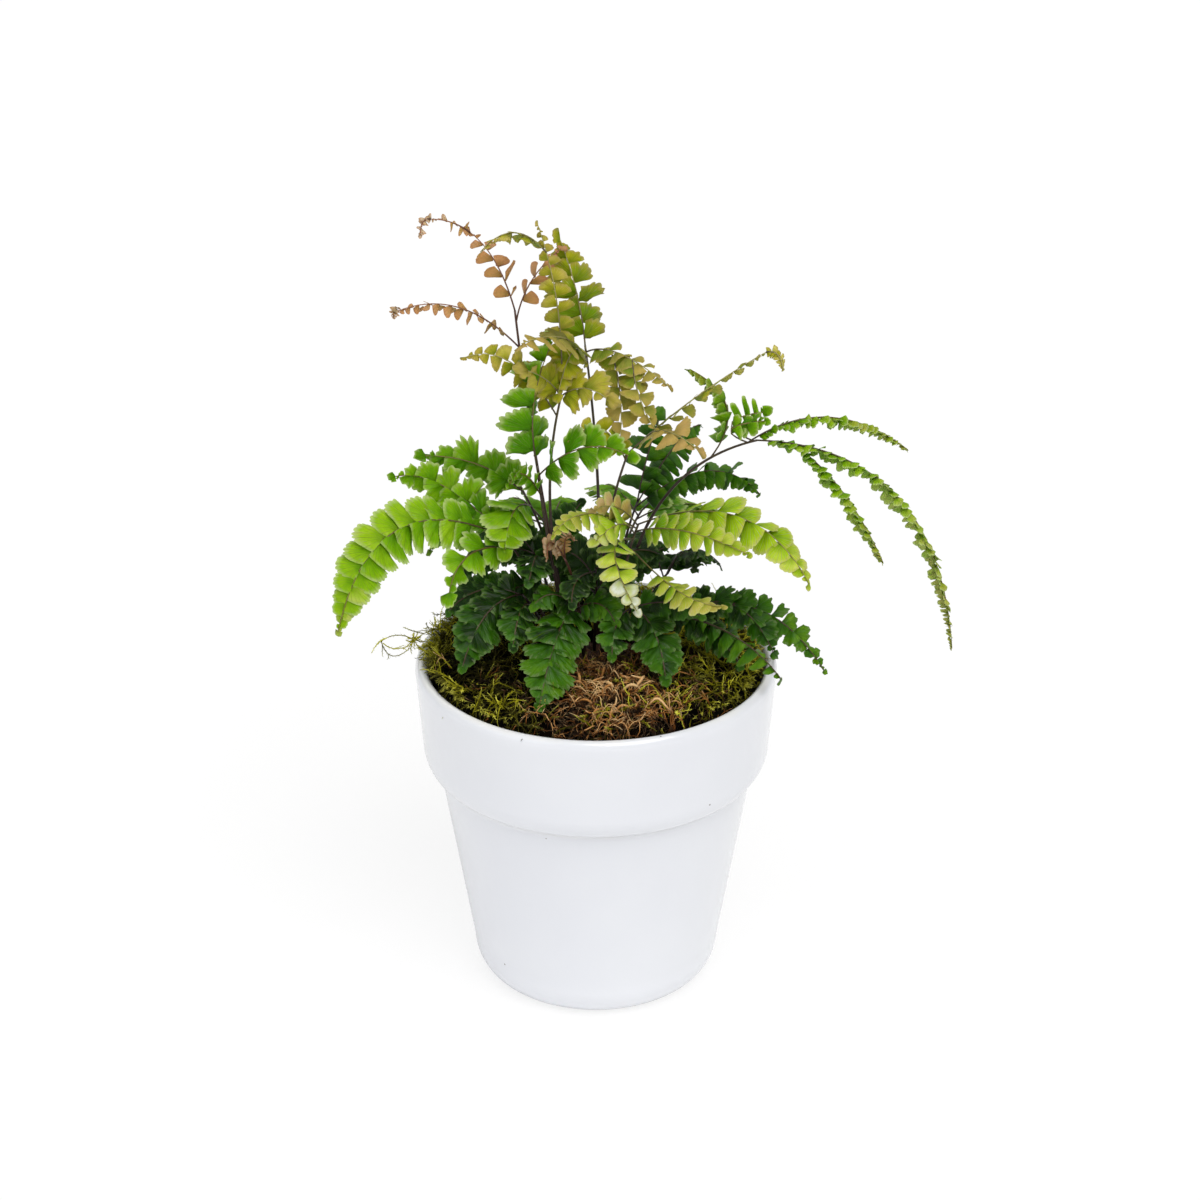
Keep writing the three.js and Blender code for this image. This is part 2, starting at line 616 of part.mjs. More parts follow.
function addLines(curve, owner, radius) {
  const points = curve.getSpacedPoints(14);
  for (let i = 1; i < points.length; i++) {
    const line = new THREE.Line3(points[i - 1], points[i]);
    grownLines.push({ line, owner, radius, box: new THREE.Box3().setFromPoints([line.start, line.end]) });
  }
}

// Points spread over a triangle
function spreadOver({ a, b, c }) {
  const steps = 4;
  const points = [];
  for (let i = 0; i <= steps; i++) {
    for (let j = 0; j <= steps - i; j++) {
      const point = a.clone().multiplyScalar(i / steps);
      points.push(point.addScaledVector(b, j / steps).addScaledVector(c, (steps - i - j) / steps));
    }
  }
  return points;
}

// Whether a leaflet comes too near to the ground or to what other pinnae have grown
function crowded(triangles, pinna, kin) {
  const near = new THREE.Vector3();
  const points = triangles.flatMap(spreadOver);
  if (points.some((p) => p.z < groundAt(p.x, p.y) + CLEAR)) return true;
  const box = new THREE.Box3().setFromPoints(points).expandByScalar(CLEAR + STALK_RADIUS);
  const hitsLine = grownLines.some(({ line, owner, radius, box: lineBox }) => {
    if (owner === pinna || !box.intersectsBox(lineBox)) return false;
    const room = (kin.has(owner) ? KIN_CLEAR : CLEAR) + radius;
    return points.some((p) => line.closestPointToPoint(p, true, near).distanceTo(p) < room);
  });
  if (hitsLine) return true;
  return grownTriangles.some(({ triangle, owner, box: triangleBox }) => {
    if (owner === pinna || !box.intersectsBox(triangleBox)) return false;
    return points.some((p) => triangle.closestPointToPoint(p, near).distanceTo(p) < CLEAR);
  });
}

// The outer corners of leaflet i at the largest share of its length that has room, or none
function roomyLeaflet(pinna, i, side, kin) {
  for (let share = 1; share >= SMALLEST_SHARE; share -= SHRINK_STEP) {
    const outer = pinna.leaflet(i, side, share);
    const ring = [
      pinna.at(pinna.station(i), side * RIB_HALF_WIDTH),
      ...outer,
      pinna.at(pinna.station(i) + pinna.width, side * RIB_HALF_WIDTH),
    ].map(({ point }) => point);
    const triangles = ring.slice(2).map((point, k) => new THREE.Triangle(ring[0], ring[k + 1], point));
    if (crowded(triangles, pinna, kin)) continue;
    for (const triangle of triangles) {
      const box = new THREE.Box3().setFromPoints([triangle.a, triangle.b, triangle.c]);
      grownTriangles.push({ triangle, owner: pinna, box });
    }
    return outer;
  }
  return null;
}

// One thin arched blade, its outline cut to the rib into leaflets, as a closed solid
function makeBlade(pinna, kin) {
  const positions = [];
  const corners = [];
  const put = ({ point, normal }, half) => {
    const top = point.clone().addScaledVector(normal, half);
    const bottom = point.clone().addScaledVector(normal, -half);
    positions.push(...top.toArray(), ...bottom.toArray());
    return positions.length / 3 - 2;
  };
  // Faces of the upper surface, given anticlockwise, with the same ones below
  const face = (a, b, c) => corners.push(a, b, c, c + 1, b + 1, a + 1);
  const wall = (a, b) => corners.push(a + 1, b + 1, b, a + 1, b, a);

  const stations = [{ along: 0 }];
  const gapped = pinna.pitch - pinna.width > 0.3;
  for (let i = 0; i < pinna.count; i++) {
    stations.push({ along: pinna.station(i), leaflet: i });
    if (gapped) stations.push({ along: pinna.station(i) + pinna.width });
  }
  if (!gapped) stations.push({ along: pinna.station(pinna.count) });
  for (const station of stations) {
    station.left = put(pinna.at(station.along, RIB_HALF_WIDTH), RIB_HALF_THICK);
    station.right = put(pinna.at(station.along, -RIB_HALF_WIDTH), RIB_HALF_THICK);
  }

  // The stretch from one station to the next: the rib, and a leaflet or a plain wall on each side
  for (let k = 0; k + 1 < stations.length; k++) {
    const from = stations[k];
    const to = stations[k + 1];
    face(from.right, to.right, to.left);
    face(from.right, to.left, from.left);
    for (const side of [1, -1]) {
      const leaflet = from.leaflet === undefined ? null : roomyLeaflet(pinna, from.leaflet, side, kin);
      const outer = leaflet ? leaflet.map((corner) => put(corner, BLADE_HALF_THICK)) : [];
      const ring = side > 0 ? [from.left, ...outer, to.left] : [from.right, ...outer, to.right];
      for (let n = 1; n < ring.length; n++) {
        const [a, b] = side > 0 ? [ring[n], ring[n - 1]] : [ring[n - 1], ring[n]];
        wall(a, b);
        if (n > 1) face(ring[0], a, b);
      }
    }
  }
  wall(stations[0].left, stations[0].right);
  const last = stations.at(-1);
  const tip = put(pinna.at(pinna.length, 0), BLADE_HALF_THICK);
  face(last.right, tip, last.left);
  wall(last.right, tip);
  wall(tip, last.left);
  return solidOf(positions, corners);
}

const footOf = (frond) => new THREE.Vector3(frond.foot[0], frond.foot[1], STALK_SEAT);

// A frond's curves: its stalk, and the pinnae that leave the stalk or one another
function layOut(frond) {
  const stalk = arc(footOf(frond), vector(frond.via), vector(frond.top));
  const pinnae = [];
  for (const shape of frond.pinnae) {
    const carrier = shape.on === STALK ? stalk : pinnae[shape.on].curve;
    const curve = arc(carrier.getPointAt(shape.at), vector(shape.via), vector(shape.tip));
    pinnae.push(new Pinna(curve, shape));
  }
  addLines(stalk, frond, STALK_RADIUS);
  for (const pinna of pinnae) addLines(pinna.curve, pinna, RIB_HALF_WIDTH);
  return { frond, stalk, pinnae };
}

function makeFrond({ frond, stalk, pinnae }) {
  const kin = new Set([frond, ...pinnae]);
  const steps = Math.max(3, Math.round(stalk.getLength() / 18));
  const blades = pinnae.map((pinna) => makeBlade(pinna, kin));
  return blades.reduce((sum, blade) => sum.add(blade), tube(stalk, STALK_RADIUS, STALK_SIDES, steps));
}

// A plain hole in the rootstock for a stalk's foot
function footHole({ stalk }) {
  const under = stalk.getPointAt(0).addScaledVector(stalk.getTangentAt(0), -RUNNING_GAP);
  const path = new THREE.LineCurve3(under, stalk.getPointAt(FOOT_HOLE_DEPTH / stalk.getLength()));
  return tube(path, FOOT_HOLE_RADIUS, FOOT_HOLE_SIDES, 1);
}

const laidOut = FRONDS.map(layOut);
const footHoles = laidOut.map(footHole).reduce((sum, hole) => sum.add(hole));

const planting = new THREE.Group();
planting.position.z = POT_HEIGHT;
planting.add(meshFrom(makeSoil(), "potting_soil", COLOURS.soil));
planting.add(meshFrom(makeKnobs(0).subtract(footHoles), "rootstock", COLOURS.root));
const greenTo = DRY_FROM + 2 * Math.PI - MOSS_SEAM;
planting.add(meshFrom(makeMoss(DRY_TO + MOSS_SEAM, greenTo, 4, 28), "moss_green", COLOURS.moss));
planting.add(meshFrom(makeMoss(DRY_FROM, DRY_TO, 4, 7), "moss_dry", COLOURS.dryMoss));
for (const grown of laidOut) {
  planting.add(meshFrom(makeFrond(grown), grown.frond.name, COLOURS[grown.frond.tint]));
}

const pottedFern = new THREE.Group();
pottedFern.add(meshFrom(makePot(), "pot", COLOURS.glaze), planting);

export default pottedFern;
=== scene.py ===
# A rosy maidenhair fern in a white glazed flower pot, its soil dressed with green and dried moss.
# Places and sizes are millimetres from the middle of the pot's rim, with +Z up and the viewer on
# the -Y side; meshes are written in metres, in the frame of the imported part.
import math
import random
from itertools import combinations

import bpy
import numpy as np
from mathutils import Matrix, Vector, noise


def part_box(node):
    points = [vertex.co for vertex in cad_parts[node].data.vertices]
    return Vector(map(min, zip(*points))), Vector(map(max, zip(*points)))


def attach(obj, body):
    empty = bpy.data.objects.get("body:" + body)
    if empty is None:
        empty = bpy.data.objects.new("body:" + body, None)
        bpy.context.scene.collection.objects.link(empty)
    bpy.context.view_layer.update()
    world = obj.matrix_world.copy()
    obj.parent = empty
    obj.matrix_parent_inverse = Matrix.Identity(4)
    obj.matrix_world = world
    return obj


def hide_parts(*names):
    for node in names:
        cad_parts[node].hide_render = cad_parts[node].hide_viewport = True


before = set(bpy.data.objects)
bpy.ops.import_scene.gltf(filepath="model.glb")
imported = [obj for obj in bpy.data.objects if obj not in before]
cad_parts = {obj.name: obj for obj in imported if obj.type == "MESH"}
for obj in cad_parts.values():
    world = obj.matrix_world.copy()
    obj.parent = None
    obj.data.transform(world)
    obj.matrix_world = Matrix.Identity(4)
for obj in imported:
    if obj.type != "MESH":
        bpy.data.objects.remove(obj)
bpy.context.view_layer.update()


# The pot: one thrown body of white earthenware with a thick band under its rounded rim, dipped in
# a cool white glaze. The glaze thins over the edges, where the warm body shows, and holds specks.
MM = 0.001
RIM_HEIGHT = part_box("pot")[1].z / MM
RIM_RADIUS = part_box("pot")[1].x / MM
RIM_WALL = 4.8
LIP_ROUND = 3.5
COLLAR_HEIGHT = 44
COLLAR_RADIUS = RIM_RADIUS - 2.4
BODY_TOP_RADIUS = COLLAR_RADIUS - 6
SHOULDER_ROUND = 10
FOOT_RADIUS = 37
FOOT_EDGE = 6  # the outer ring of its flat foot
BODY_FOOT_RADIUS = 48.6
FOOT_ROUND = 14
INNER_KNEE_RADIUS = BODY_TOP_RADIUS - 3
INNER_FLOOR_RADIUS = BODY_FOOT_RADIUS - 9
POT_FLOOR = 7
POT_SIDES = 192
GLAZE_WAVE = 0.14  # how far the thrown wall is from true
WAVE_SCALE = 0.03
WAVE_FADE = 20  # the width over which the wave fades out to the foot
RIM_GLOW = 1.6  # how far down the glaze thins on the rim
LEDGE_GLOW = 2.4  # and on both sides of the ledge under the band


def paint(code):
    """A colour's linear red, green, blue and alpha from its six-digit code."""
    parts = [int(code[i : i + 2], 16) / 255 for i in (0, 2, 4)]
    return [p / 12.92 if p < 0.04045 else ((p + 0.055) / 1.055) ** 2.4 for p in parts] + [1.0]


class Wire:
    """An output socket of a material's node, so that shader maths is written as expressions."""

    def __init__(self, tree, socket=None):
        self.tree = tree
        self.socket = socket

    def node(self, kind, settings=(), sockets=(), output=0):
        """Adds a node of any type: its settings first, then the values or links of its sockets."""
        made = self.tree.nodes.new(kind)
        for name, value in dict(settings).items():
            if name == "stops":
                ramp = made.color_ramp
                while len(ramp.elements) < len(value):
                    ramp.elements.new(0.5)
                for element, (place, colour) in zip(ramp.elements, value):
                    element.position = place
                    element.color = colour
            else:
                setattr(made, name, value)
        for name, value in dict(sockets).items():
            if isinstance(value, Wire):
                self.tree.links.new(value.socket, made.inputs[name])
            else:
                made.inputs[name].default_value = value
        return Wire(self.tree, made.outputs[output])

    def math(self, operation, *others):
        return self.node("ShaderNodeMath", {"operation": operation}, enumerate((self, *others)))

    def __add__(self, other):
        return self.math("ADD", other)

    def __sub__(self, other):
        return self.math("SUBTRACT", other)

    def __rsub__(self, other):
        return self * -1 + other

    def __mul__(self, other):
        return self.math("MULTIPLY", other)

    def __truediv__(self, other):
        return self.math("DIVIDE", other)

    __radd__ = __add__
    __rmul__ = __mul__

    def step(self, low, high):
        """0 where this value is below low, 1 above high, and smooth between."""
        ends = {"Value": self, "From Min": low, "From Max": high}
        return self.node("ShaderNodeMapRange", {"interpolation_type": "SMOOTHSTEP"}, ends)

    def blend(self, first, second):
        """The first colour where this value is 0, the second where it is 1."""
        settings = {"data_type": "RGBA", "clamp_factor": True}
        return self.node("ShaderNodeMix", settings, {0: self, 6: first, 7: second}, output=2)

    def part(self, axis):
        """This place's X, Y or Z."""
        return self.node("ShaderNodeSeparateXYZ", sockets={0: self}, output=axis)

    def value(self, name):
        """What the points of the mesh hold under this name."""
        return self.node("ShaderNodeAttribute", {"attribute_name": name}, output="Fac")

    def noise(self, scale, detail=3.0, roughness=0.5):
        """A cloudy value round 0.5 over this place, scale to the metre."""
        sockets = {"Vector": self, "Scale": scale, "Detail": detail, "Roughness": roughness}
        return self.node("ShaderNodeTexNoise", sockets=sockets)

    def bump(self, height, millimetres):
        """A normal from a height between 0 and 1, this tall."""
        sockets = {"Height": height, "Distance": millimetres * MM, "Strength": 1.0}
        return self.node("ShaderNodeBump", sockets=sockets)


def new_material(name):
    """An empty material, with the place on the object that its patterns lie in."""
    material = bpy.data.materials.new(name)
    material.use_nodes = True
    material.node_tree.nodes.clear()
    start = Wire(material.node_tree)
    return material, start, start.node("ShaderNodeTexCoord", output="Object")


def show(start, shader):
    """Makes this shader the surface of its material."""
    surface = start.tree.nodes.new("ShaderNodeOutputMaterial").inputs["Surface"]
    start.tree.links.new(shader.socket, surface)


def skin(start, sockets, shine=None, share=0):
    """Makes a surface with these values, a share of which light of one colour shines through."""
    shader = start.node("ShaderNodeBsdfPrincipled", sockets=sockets)
    if shine:
        through = start.node("ShaderNodeBsdfTranslucent", sockets={"Color": paint(shine)})
        shader = start.node("ShaderNodeMixShader", sockets={0: share, 1: shader, 2: through})
    show(start, shader)


class Growth:
    """A mesh built up part by part, with the values at its points that its colours read."""

    def __init__(self):
        self.points = []
        self.faces = []
        self.values = {}
        self.size = 0

    def add(self, points, faces, **values):
        """Adds points, faces as rows of their indices, and one value or row of values a point."""
        points = np.asarray(points, float)
        self.points.append(points)
        self.faces += [[self.size + corner for corner in face] for face in faces]
        for name, value in values.items():
            value = np.asarray(value, float)
            if value.ndim == 0:
                value = np.full(len(points), float(value))
            self.values.setdefault(name, []).append(value)
        self.size += len(points)

    def piece(self, name, material, nodes):
        """The finished piece, smooth, which stands for these nodes and rides with the pot."""
        points = np.concatenate(self.points)
        mesh = bpy.data.meshes.new(name)
        mesh.from_pydata((points + (0, 0, RIM_HEIGHT)) * MM, [], self.faces)
        corners = np.empty(len(mesh.loops), int)
        mesh.loops.foreach_get("vertex_index", corners)
        for value_name, parts in self.values.items():
            value = np.concatenate(parts)
            if value.ndim == 2:
                places = mesh.uv_layers.new(name=value_name)
                places.data.foreach_set("uv", value[corners].ravel())
            else:
                mesh.attributes.new(value_name, "FLOAT", "POINT").data.foreach_set("value", value)
        mesh.shade_smooth()
        mesh.materials.append(material)
        made = bpy.data.objects.new(name, mesh)
        bpy.context.scene.collection.objects.link(made)
        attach(made, "root")
        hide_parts(*nodes)


def quarter_round(start, end, steps, leaves_level):
    """Profile points of a quarter round, which leaves its start level or upright."""
    turn = np.linspace(0, math.pi / 2, steps + 1)
    slow, fast = 1 - np.cos(turn), np.sin(turn)
    across, up = (fast, slow) if leaves_level else (slow, fast)
    (r0, z0), (r1, z1) = start, end
    return [*zip(r0 + (r1 - r0) * across, z0 + (z1 - z0) * up)]


def straight(start, end, steps):
    """Profile points between two places, without the ends themselves."""
    return [tuple(place) for place in np.linspace(start, end, steps + 1)[1:-1]]


def between_rings(count, sides):
    """The faces between each ring of points and the next."""
    faces = []
    for low in range(0, (count - 1) * sides, sides):
        for i in range(sides):
            after = (i + 1) % sides
            faces.append((low + i, low + after, low + sides + after, low + sides + i))
    return faces


def turned(profile, sides):
    """The points and faces of a closed profile of [radius, height] turned about the Z axis."""
    angles = np.linspace(0, 2 * math.pi, sides, endpoint=False)
    rings = [(r * np.cos(angles), r * np.sin(angles), np.full(sides, z)) for r, z in profile[1:-1]]
    ends = [(0, 0, profile[0][1]), (0, 0, profile[-1][1])]
    points = np.concatenate([np.array(ring).T for ring in rings] + [ends])
    first, last = len(points) - 2, len(points) - 1
    top = first - sides
    faces = [(first, (i + 1) % sides, i) for i in range(sides)]
    faces += between_rings(len(rings), sides)
    faces += [(last, top + i, top + (i + 1) % sides) for i in range(sides)]
    return points, faces


def make_pot():
    collar_bottom = -COLLAR_HEIGHT
    lip_bottom = -LIP_ROUND
    lip_radius = RIM_RADIUS - RIM_WALL / 2
    inner_radius = RIM_RADIUS - RIM_WALL
    foot_edge = (BODY_FOOT_RADIUS, FOOT_ROUND - RIM_HEIGHT)
    body_top = (BODY_TOP_RADIUS, collar_bottom)
    collar_foot = (COLLAR_RADIUS, collar_bottom + SHOULDER_ROUND)
    profile = [
        (0, -RIM_HEIGHT),
        (FOOT_RADIUS - FOOT_EDGE, -RIM_HEIGHT),
        *quarter_round((FOOT_RADIUS, -RIM_HEIGHT), foot_edge, steps=14, leaves_level=True),
        *straight(foot_edge, body_top, steps=24),
        *quarter_round(body_top, collar_foot, steps=12, leaves_level=True),
        *straight(collar_foot, (RIM_RADIUS, lip_bottom), steps=12),
        *quarter_round((RIM_RADIUS, lip_bottom), (lip_radius, 0), steps=8, leaves_level=False),
        *quarter_round((lip_radius, 0), (inner_radius, lip_bottom), steps=8, leaves_level=True)[1:],
        *straight((inner_radius, lip_bottom), (INNER_KNEE_RADIUS, collar_bottom), steps=12),
        (INNER_KNEE_RADIUS, collar_bottom),
        (INNER_FLOOR_RADIUS, POT_FLOOR - RIM_HEIGHT),
        (0, POT_FLOOR - RIM_HEIGHT),
    ]
    points, faces = turned(profile, POT_SIDES)
    radius = np.hypot(points[:, 0], points[:, 1])
    wave = np.array([noise.noise(Vector(p) * WAVE_SCALE) for p in points]) * GLAZE_WAVE
    outside = np.clip((radius - FOOT_RADIUS) / WAVE_FADE, 0, 1)
    points[:, :2] *= (1 - abs(wave) * outside / np.maximum(radius, 1))[:, None]
    return points, faces


def glaze_material():
    material, start, place = new_material("white_glaze")
    height = place.part("Z") / MM
    cloud = place.noise(14, 4)
    tone = cloud.step(0.3, 0.7).blend(paint("dbdde3"), paint("dfe1e6"))
    lip = height.step(RIM_HEIGHT - RIM_GLOW, RIM_HEIGHT)
    ledge = (height - (RIM_HEIGHT - COLLAR_HEIGHT)).math("ABSOLUTE").step(LEDGE_GLOW, 0.2)
    thin = (lip * 0.35 + ledge * 0.3) * place.noise(60).step(0.3, 0.7)
    tone = thin.blend(tone, paint("e9e3d8"))
    spots = place.node("ShaderNodeTexVoronoi", sockets={"Vector": place, "Scale": 120, "Randomness": 1.0})
    rare = place.noise(45, 1).step(0.64, 0.68)
    speck = spots.step(0.055, 0.03) * rare
    tone = speck.blend(tone, paint("6b6558"))
    sockets = {
        "Base Color": tone,
        "Roughness": 0.17 + place.noise(30) * 0.1,
        "Coat Weight": 0.35,
        "Coat Roughness": 0.08,
        "Normal": start.bump(place.noise(220, 2) + cloud * 2, 0.05),
    }
    skin(start, sockets)
    return material


pot = Growth()
pot.add(*make_pot())
pot.piece("glazed_pot", glaze_material(), ["pot"])


# The potting soil: dark, moist, crumbly peat, which fills the pot to just under the rim and rises
# in a low dome round the rootstock.
SOIL_RINGS = [0, 16, 25, 40]
SOIL_HEIGHTS = [-3.5, -4.5, -6, -8, -9]  # at these radii, and at the moss's outer edge
MOSS_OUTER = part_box("moss_green")[1].x / MM
SOIL_SIDES = 120
SOIL_STEPS = 60
SOIL_GAP = 1  # between it and the pot
SOIL_EDGE = 2  # its smooth outer ring
SOIL_SUNK = 0.3
SOIL_LUMPS = 0.5
SOIL_SETTLED = 0.2
CRUMBS = 420
CRUMB_REACH = (11, 34)
CRUMB_SIZE = (0.7, 2.1)
CRUMB_CORNER = (0.7, 1.25)  # how far out each corner is
CRUMB_LENGTH = (0.6, 1.3)
CRUMB_HEIGHT = (0.45, 0.8)
CRUMB_LIFT = 0.1  # how high its middle lies, as a share of its size
SOIL_SEED = 11


def soil_top(radius):
    """The soil's height at a radius."""
    return np.interp(radius, [*SOIL_RINGS, MOSS_OUTER], SOIL_HEIGHTS)


def make_soil():
    knee = -COLLAR_HEIGHT
    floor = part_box("potting_soil")[0].z / MM - RIM_HEIGHT
    rings = np.linspace(MOSS_OUTER, 0.8, SOIL_STEPS)
    profile = [
        (0, floor),
        (INNER_FLOOR_RADIUS - SOIL_GAP, floor),
        (INNER_KNEE_RADIUS - SOIL_GAP, knee),
        *[(r, soil_top(r) - SOIL_SUNK) for r in rings],
        (0, soil_top(0)),
    ]
    points, faces = turned(profile, SOIL_SIDES)
    for point in points:
        if point[2] > knee and math.hypot(point[0], point[1]) < MOSS_OUTER - SOIL_EDGE:
            point[2] += SOIL_LUMPS * noise.fractal(Vector(point) * 0.5, 0.8, 2.0, 4) - SOIL_SETTLED
    return points, faces


def icosahedron():
    """The corners and outward faces of one with sides of 2."""
    golden = (1 + 5**0.5) / 2
    corners = [(a, b * golden, 0) for a in (-1, 1) for b in (-1, 1)]
    corners += [(0, a, b) for a, b, _ in corners] + [(b, 0, a) for a, b, _ in corners]
    corners = np.array(corners, float)
    near = np.isclose(np.linalg.norm(corners[:, None] - corners[None], axis=2), 2)
    faces = []
    for a, b, c in combinations(range(len(corners)), 3):
        if near[a, b] and near[b, c] and near[a, c]:
            outward = np.dot(np.cross(corners[b] - corners[a], corners[c] - corners[a]), corners[a]) > 0
            faces.append((a, b, c) if outward else (a, c, b))
    return corners, faces


def crumb(draw, corners, centre, size):
    """The points of an irregular lump with these corners."""
    points = corners * size / 2
    points *= np.array([[draw.uniform(*CRUMB_CORNER)] for _ in corners])
    points *= [draw.uniform(*span) for span in (CRUMB_LENGTH, CRUMB_LENGTH, CRUMB_HEIGHT)]
    return points + centre


def soil_material():
    material, start, place = new_material("potting_soil")
    grain = place.noise(900, 4, 0.7)
    patch = place.noise(120, 3)
    tone = patch.step(0.35, 0.65).blend(paint("1d130c"), paint("3a2818"))
    tone = grain.step(0.56, 0.7).blend(tone, paint("5d4630"))
    skin(start, {"Base Color": tone, "Roughness": 0.95 - patch * 0.2, "Normal": start.bump(grain, 0.5)})
    return material


soil = Growth()
soil.add(*make_soil())
soil_draw = random.Random(SOIL_SEED)
lump_corners, lump_faces = icosahedron()
for _ in range(CRUMBS):
    reach = soil_draw.uniform(*CRUMB_REACH)
    turn = soil_draw.uniform(0, 2 * math.pi)
    size = soil_draw.uniform(*CRUMB_SIZE)
    centre = (reach * math.cos(turn), reach * math.sin(turn), soil_top(reach) + CRUMB_LIFT * size)
    soil.add(crumb(soil_draw, lump_corners, centre, size), lump_faces)
soil.piece("soil_surface", soil_material(), ["potting_soil"])


# The rootstock: a short creeping rhizome of knobs grown together, from which every stalk rises.
# It is clothed in narrow brown papery scales, which lie up the knobs.
KNOBS = [(-7, 3, 13, 13), (7, 3, 12, 13), (0, -5, 13, 11)]  # x, y, half length, half width
ROOTSTOCK_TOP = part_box("rootstock")[1].z / MM - RIM_HEIGHT
ROOTSTOCK_CENTRE = -6
KNOB_SIDES = 48
KNOB_SWELL = 0.05
KNOB_SIZE = 0.98  # against the solid's
SCALES = 620
SCALE_LENGTH = 3.4
SCALE_WIDTH = 0.9
SCALE_ROOT = 0.95  # how far out of the knob's middle it starts
SCALE_RISES = (0.1, 0.98)  # between the knob's middle and its top
SCALE_SWAY = 0.6
SCALE_LIFT = 0.25
SCALE_LENGTHS = (0.5, 1)
SCALE_SEED = 23


def normalised(vectors):
    """Each row with length 1."""
    return vectors / np.maximum(np.linalg.norm(vectors, axis=-1, keepdims=True), 1e-9)


def spikes(roots, headings, flats, lengths, widths):
    """Thin pointed blades, one for each root: three sides that meet at a tip, open where they grow."""
    side = normalised(np.cross(headings, flats)) * np.reshape(widths, (-1, 1)) / 2
    keel = np.asarray(flats) * np.reshape(widths, (-1, 1)) / 4
    tips = roots + headings * np.reshape(lengths, (-1, 1))
    points = np.stack([roots - side, roots + side, roots + keel, tips], 1).reshape(-1, 3)
    first = 4 * np.arange(len(roots))[:, None, None]
    faces = (first + np.array([(0, 1, 3), (1, 2, 3), (2, 0, 3)])).reshape(-1, 3).tolist()
    return points, faces


def make_knob(x, y, half_length, half_width):
    bow = np.linspace(-math.pi / 2, math.pi / 2, KNOB_SIDES // 2)
    points, faces = turned([*zip(np.cos(bow), np.sin(bow))], KNOB_SIDES)
    swell = np.array([1 + KNOB_SWELL * noise.noise(Vector(p) * 3 + Vector((x, y, 0))) for p in points])
    points = points * swell[:, None] * (half_length, half_width, ROOTSTOCK_TOP - ROOTSTOCK_CENTRE)
    return points * KNOB_SIZE + (x, y, ROOTSTOCK_CENTRE), faces


def make_scales(draw):
    """The scales' blades, rooted all over the upper halves of the knobs."""
    roots, headings, outs = [], [], []
    for _ in range(SCALES):
        x, y, half_length, half_width = draw.choice(KNOBS)
        turn = draw.uniform(0, 2 * math.pi)
        rise = math.asin(draw.uniform(*SCALE_RISES))
        ball = np.array([math.cos(turn) * math.cos(rise), math.sin(turn) * math.cos(rise), math.sin(rise)])
        size = np.array([half_length, half_width, ROOTSTOCK_TOP - ROOTSTOCK_CENTRE])
        out = ball / size
        out /= np.linalg.norm(out)
        up = np.array([draw.uniform(-SCALE_SWAY, SCALE_SWAY), draw.uniform(-SCALE_SWAY, SCALE_SWAY), 1])
        up -= out * up.dot(out)
        roots.append(ball * size * SCALE_ROOT + (x, y, ROOTSTOCK_CENTRE))
        headings.append(up / np.linalg.norm(up) + SCALE_LIFT * out)
        outs.append(out)
    lengths = [SCALE_LENGTH * draw.uniform(*SCALE_LENGTHS) for _ in roots]
    return spikes(np.array(roots), normalised(np.array(headings)), np.array(outs), lengths, SCALE_WIDTH)


def rootstock_material():
    material, start, place = new_material("rootstock")
    fibre = place.noise(500, 4, 0.7)
    patch = place.noise(150)
    tone = patch.step(0.3, 0.7).blend(paint("2c180d"), paint("5b371d"))
    tone = fibre.step(0.55, 0.75).blend(tone, paint("8a5c34"))
    skin(start, {"Base Color": tone, "Roughness": 0.75 + patch * 0.2, "Normal": start.bump(fibre, 0.3)})
    return material


rootstock = Growth()
for knob in KNOBS:
    rootstock.add(*make_knob(*knob))
rootstock.add(*make_scales(random.Random(SCALE_SEED)))
rootstock.piece("scaly_rootstock", rootstock_material(), ["rootstock"])


# The green moss: a mat of feather moss laid over the soil and pressed up against the rim, its
# leafy shoots tangled over one another. Some stray out over the rim, most of all at the left.
CROWN_RADIUS = 22  # bare ground round the stalks, inside the moss
MOSS_EDGE = -0.5
MOSS_SWELL = 6
MOSS_TUFT = 1.3
MOSS_LEAST = 3
MAT_SUNK = 1.7  # the mat lies this much under the tips of its shoots
MAT_RINGS = 28
MAT_SPOKES = 200
MAT_ROUGH = 0.9
MAT_GRAIN = 0.45  # how fine that roughness is
MAT_FOOT = 0.2  # how far its underside lies over the soil
MAT_LEAST = 0.5
EDGE_WIDTH = 14
EDGE_RISE = 2.4  # how much the moss swells towards the rim
EDGE_ROUND = 3.5
EDGE_DROP = 4.6  # how far its edge rounds off down to the wall
MOSS_REACH = MOSS_OUTER + 1.1  # how far its shoots go, up to the wall
DRY_FROM = math.radians(-110)
DRY_TO = math.radians(-50)
GREEN_TO = DRY_FROM + 2 * math.pi
SHOOTS = 780
GREEN_IN_DRY = 14  # one in this many grows in the dried patch
SHOOT_STEPS = 8
SHOOT_LENGTH = (8, 17)
SHOOT_BEND = 2.6
SHOOT_RISE = (0.2, 4.4, 1.3)  # the least, the most and the usual one
SHOOT_RADIUS = 0.26
SHOOT_BRANCHES = 2
BRANCH_SHARE = (0.2, 0.45)
ROOT_DEPTH = 1.2
BRANCH_RADIUS = 0.75  # and its leaves, against those of the shoot
BRANCH_LEAF = 0.85
STEM_TIP = 0.5  # its radius at the tip against that at the foot
LEAF_SPACING = 0.75
LEAF_TURN = 2.4  # each leaf stands this far round its stem from the last one
LEAF_FORWARD = 0.9  # how far it points along the stem
LEAF_SLIM = 0.32
LEAF_DWINDLE = 0.45  # how much shorter the leaves get up to the tip
LEAF_VARIES = (0.75, 1.25)
MOSS_LEAF = 1.55
LEAN_FROM = 4  # how far inside the moss's edge a shoot that leans out starts
LEAN_SWEEP = 0.12
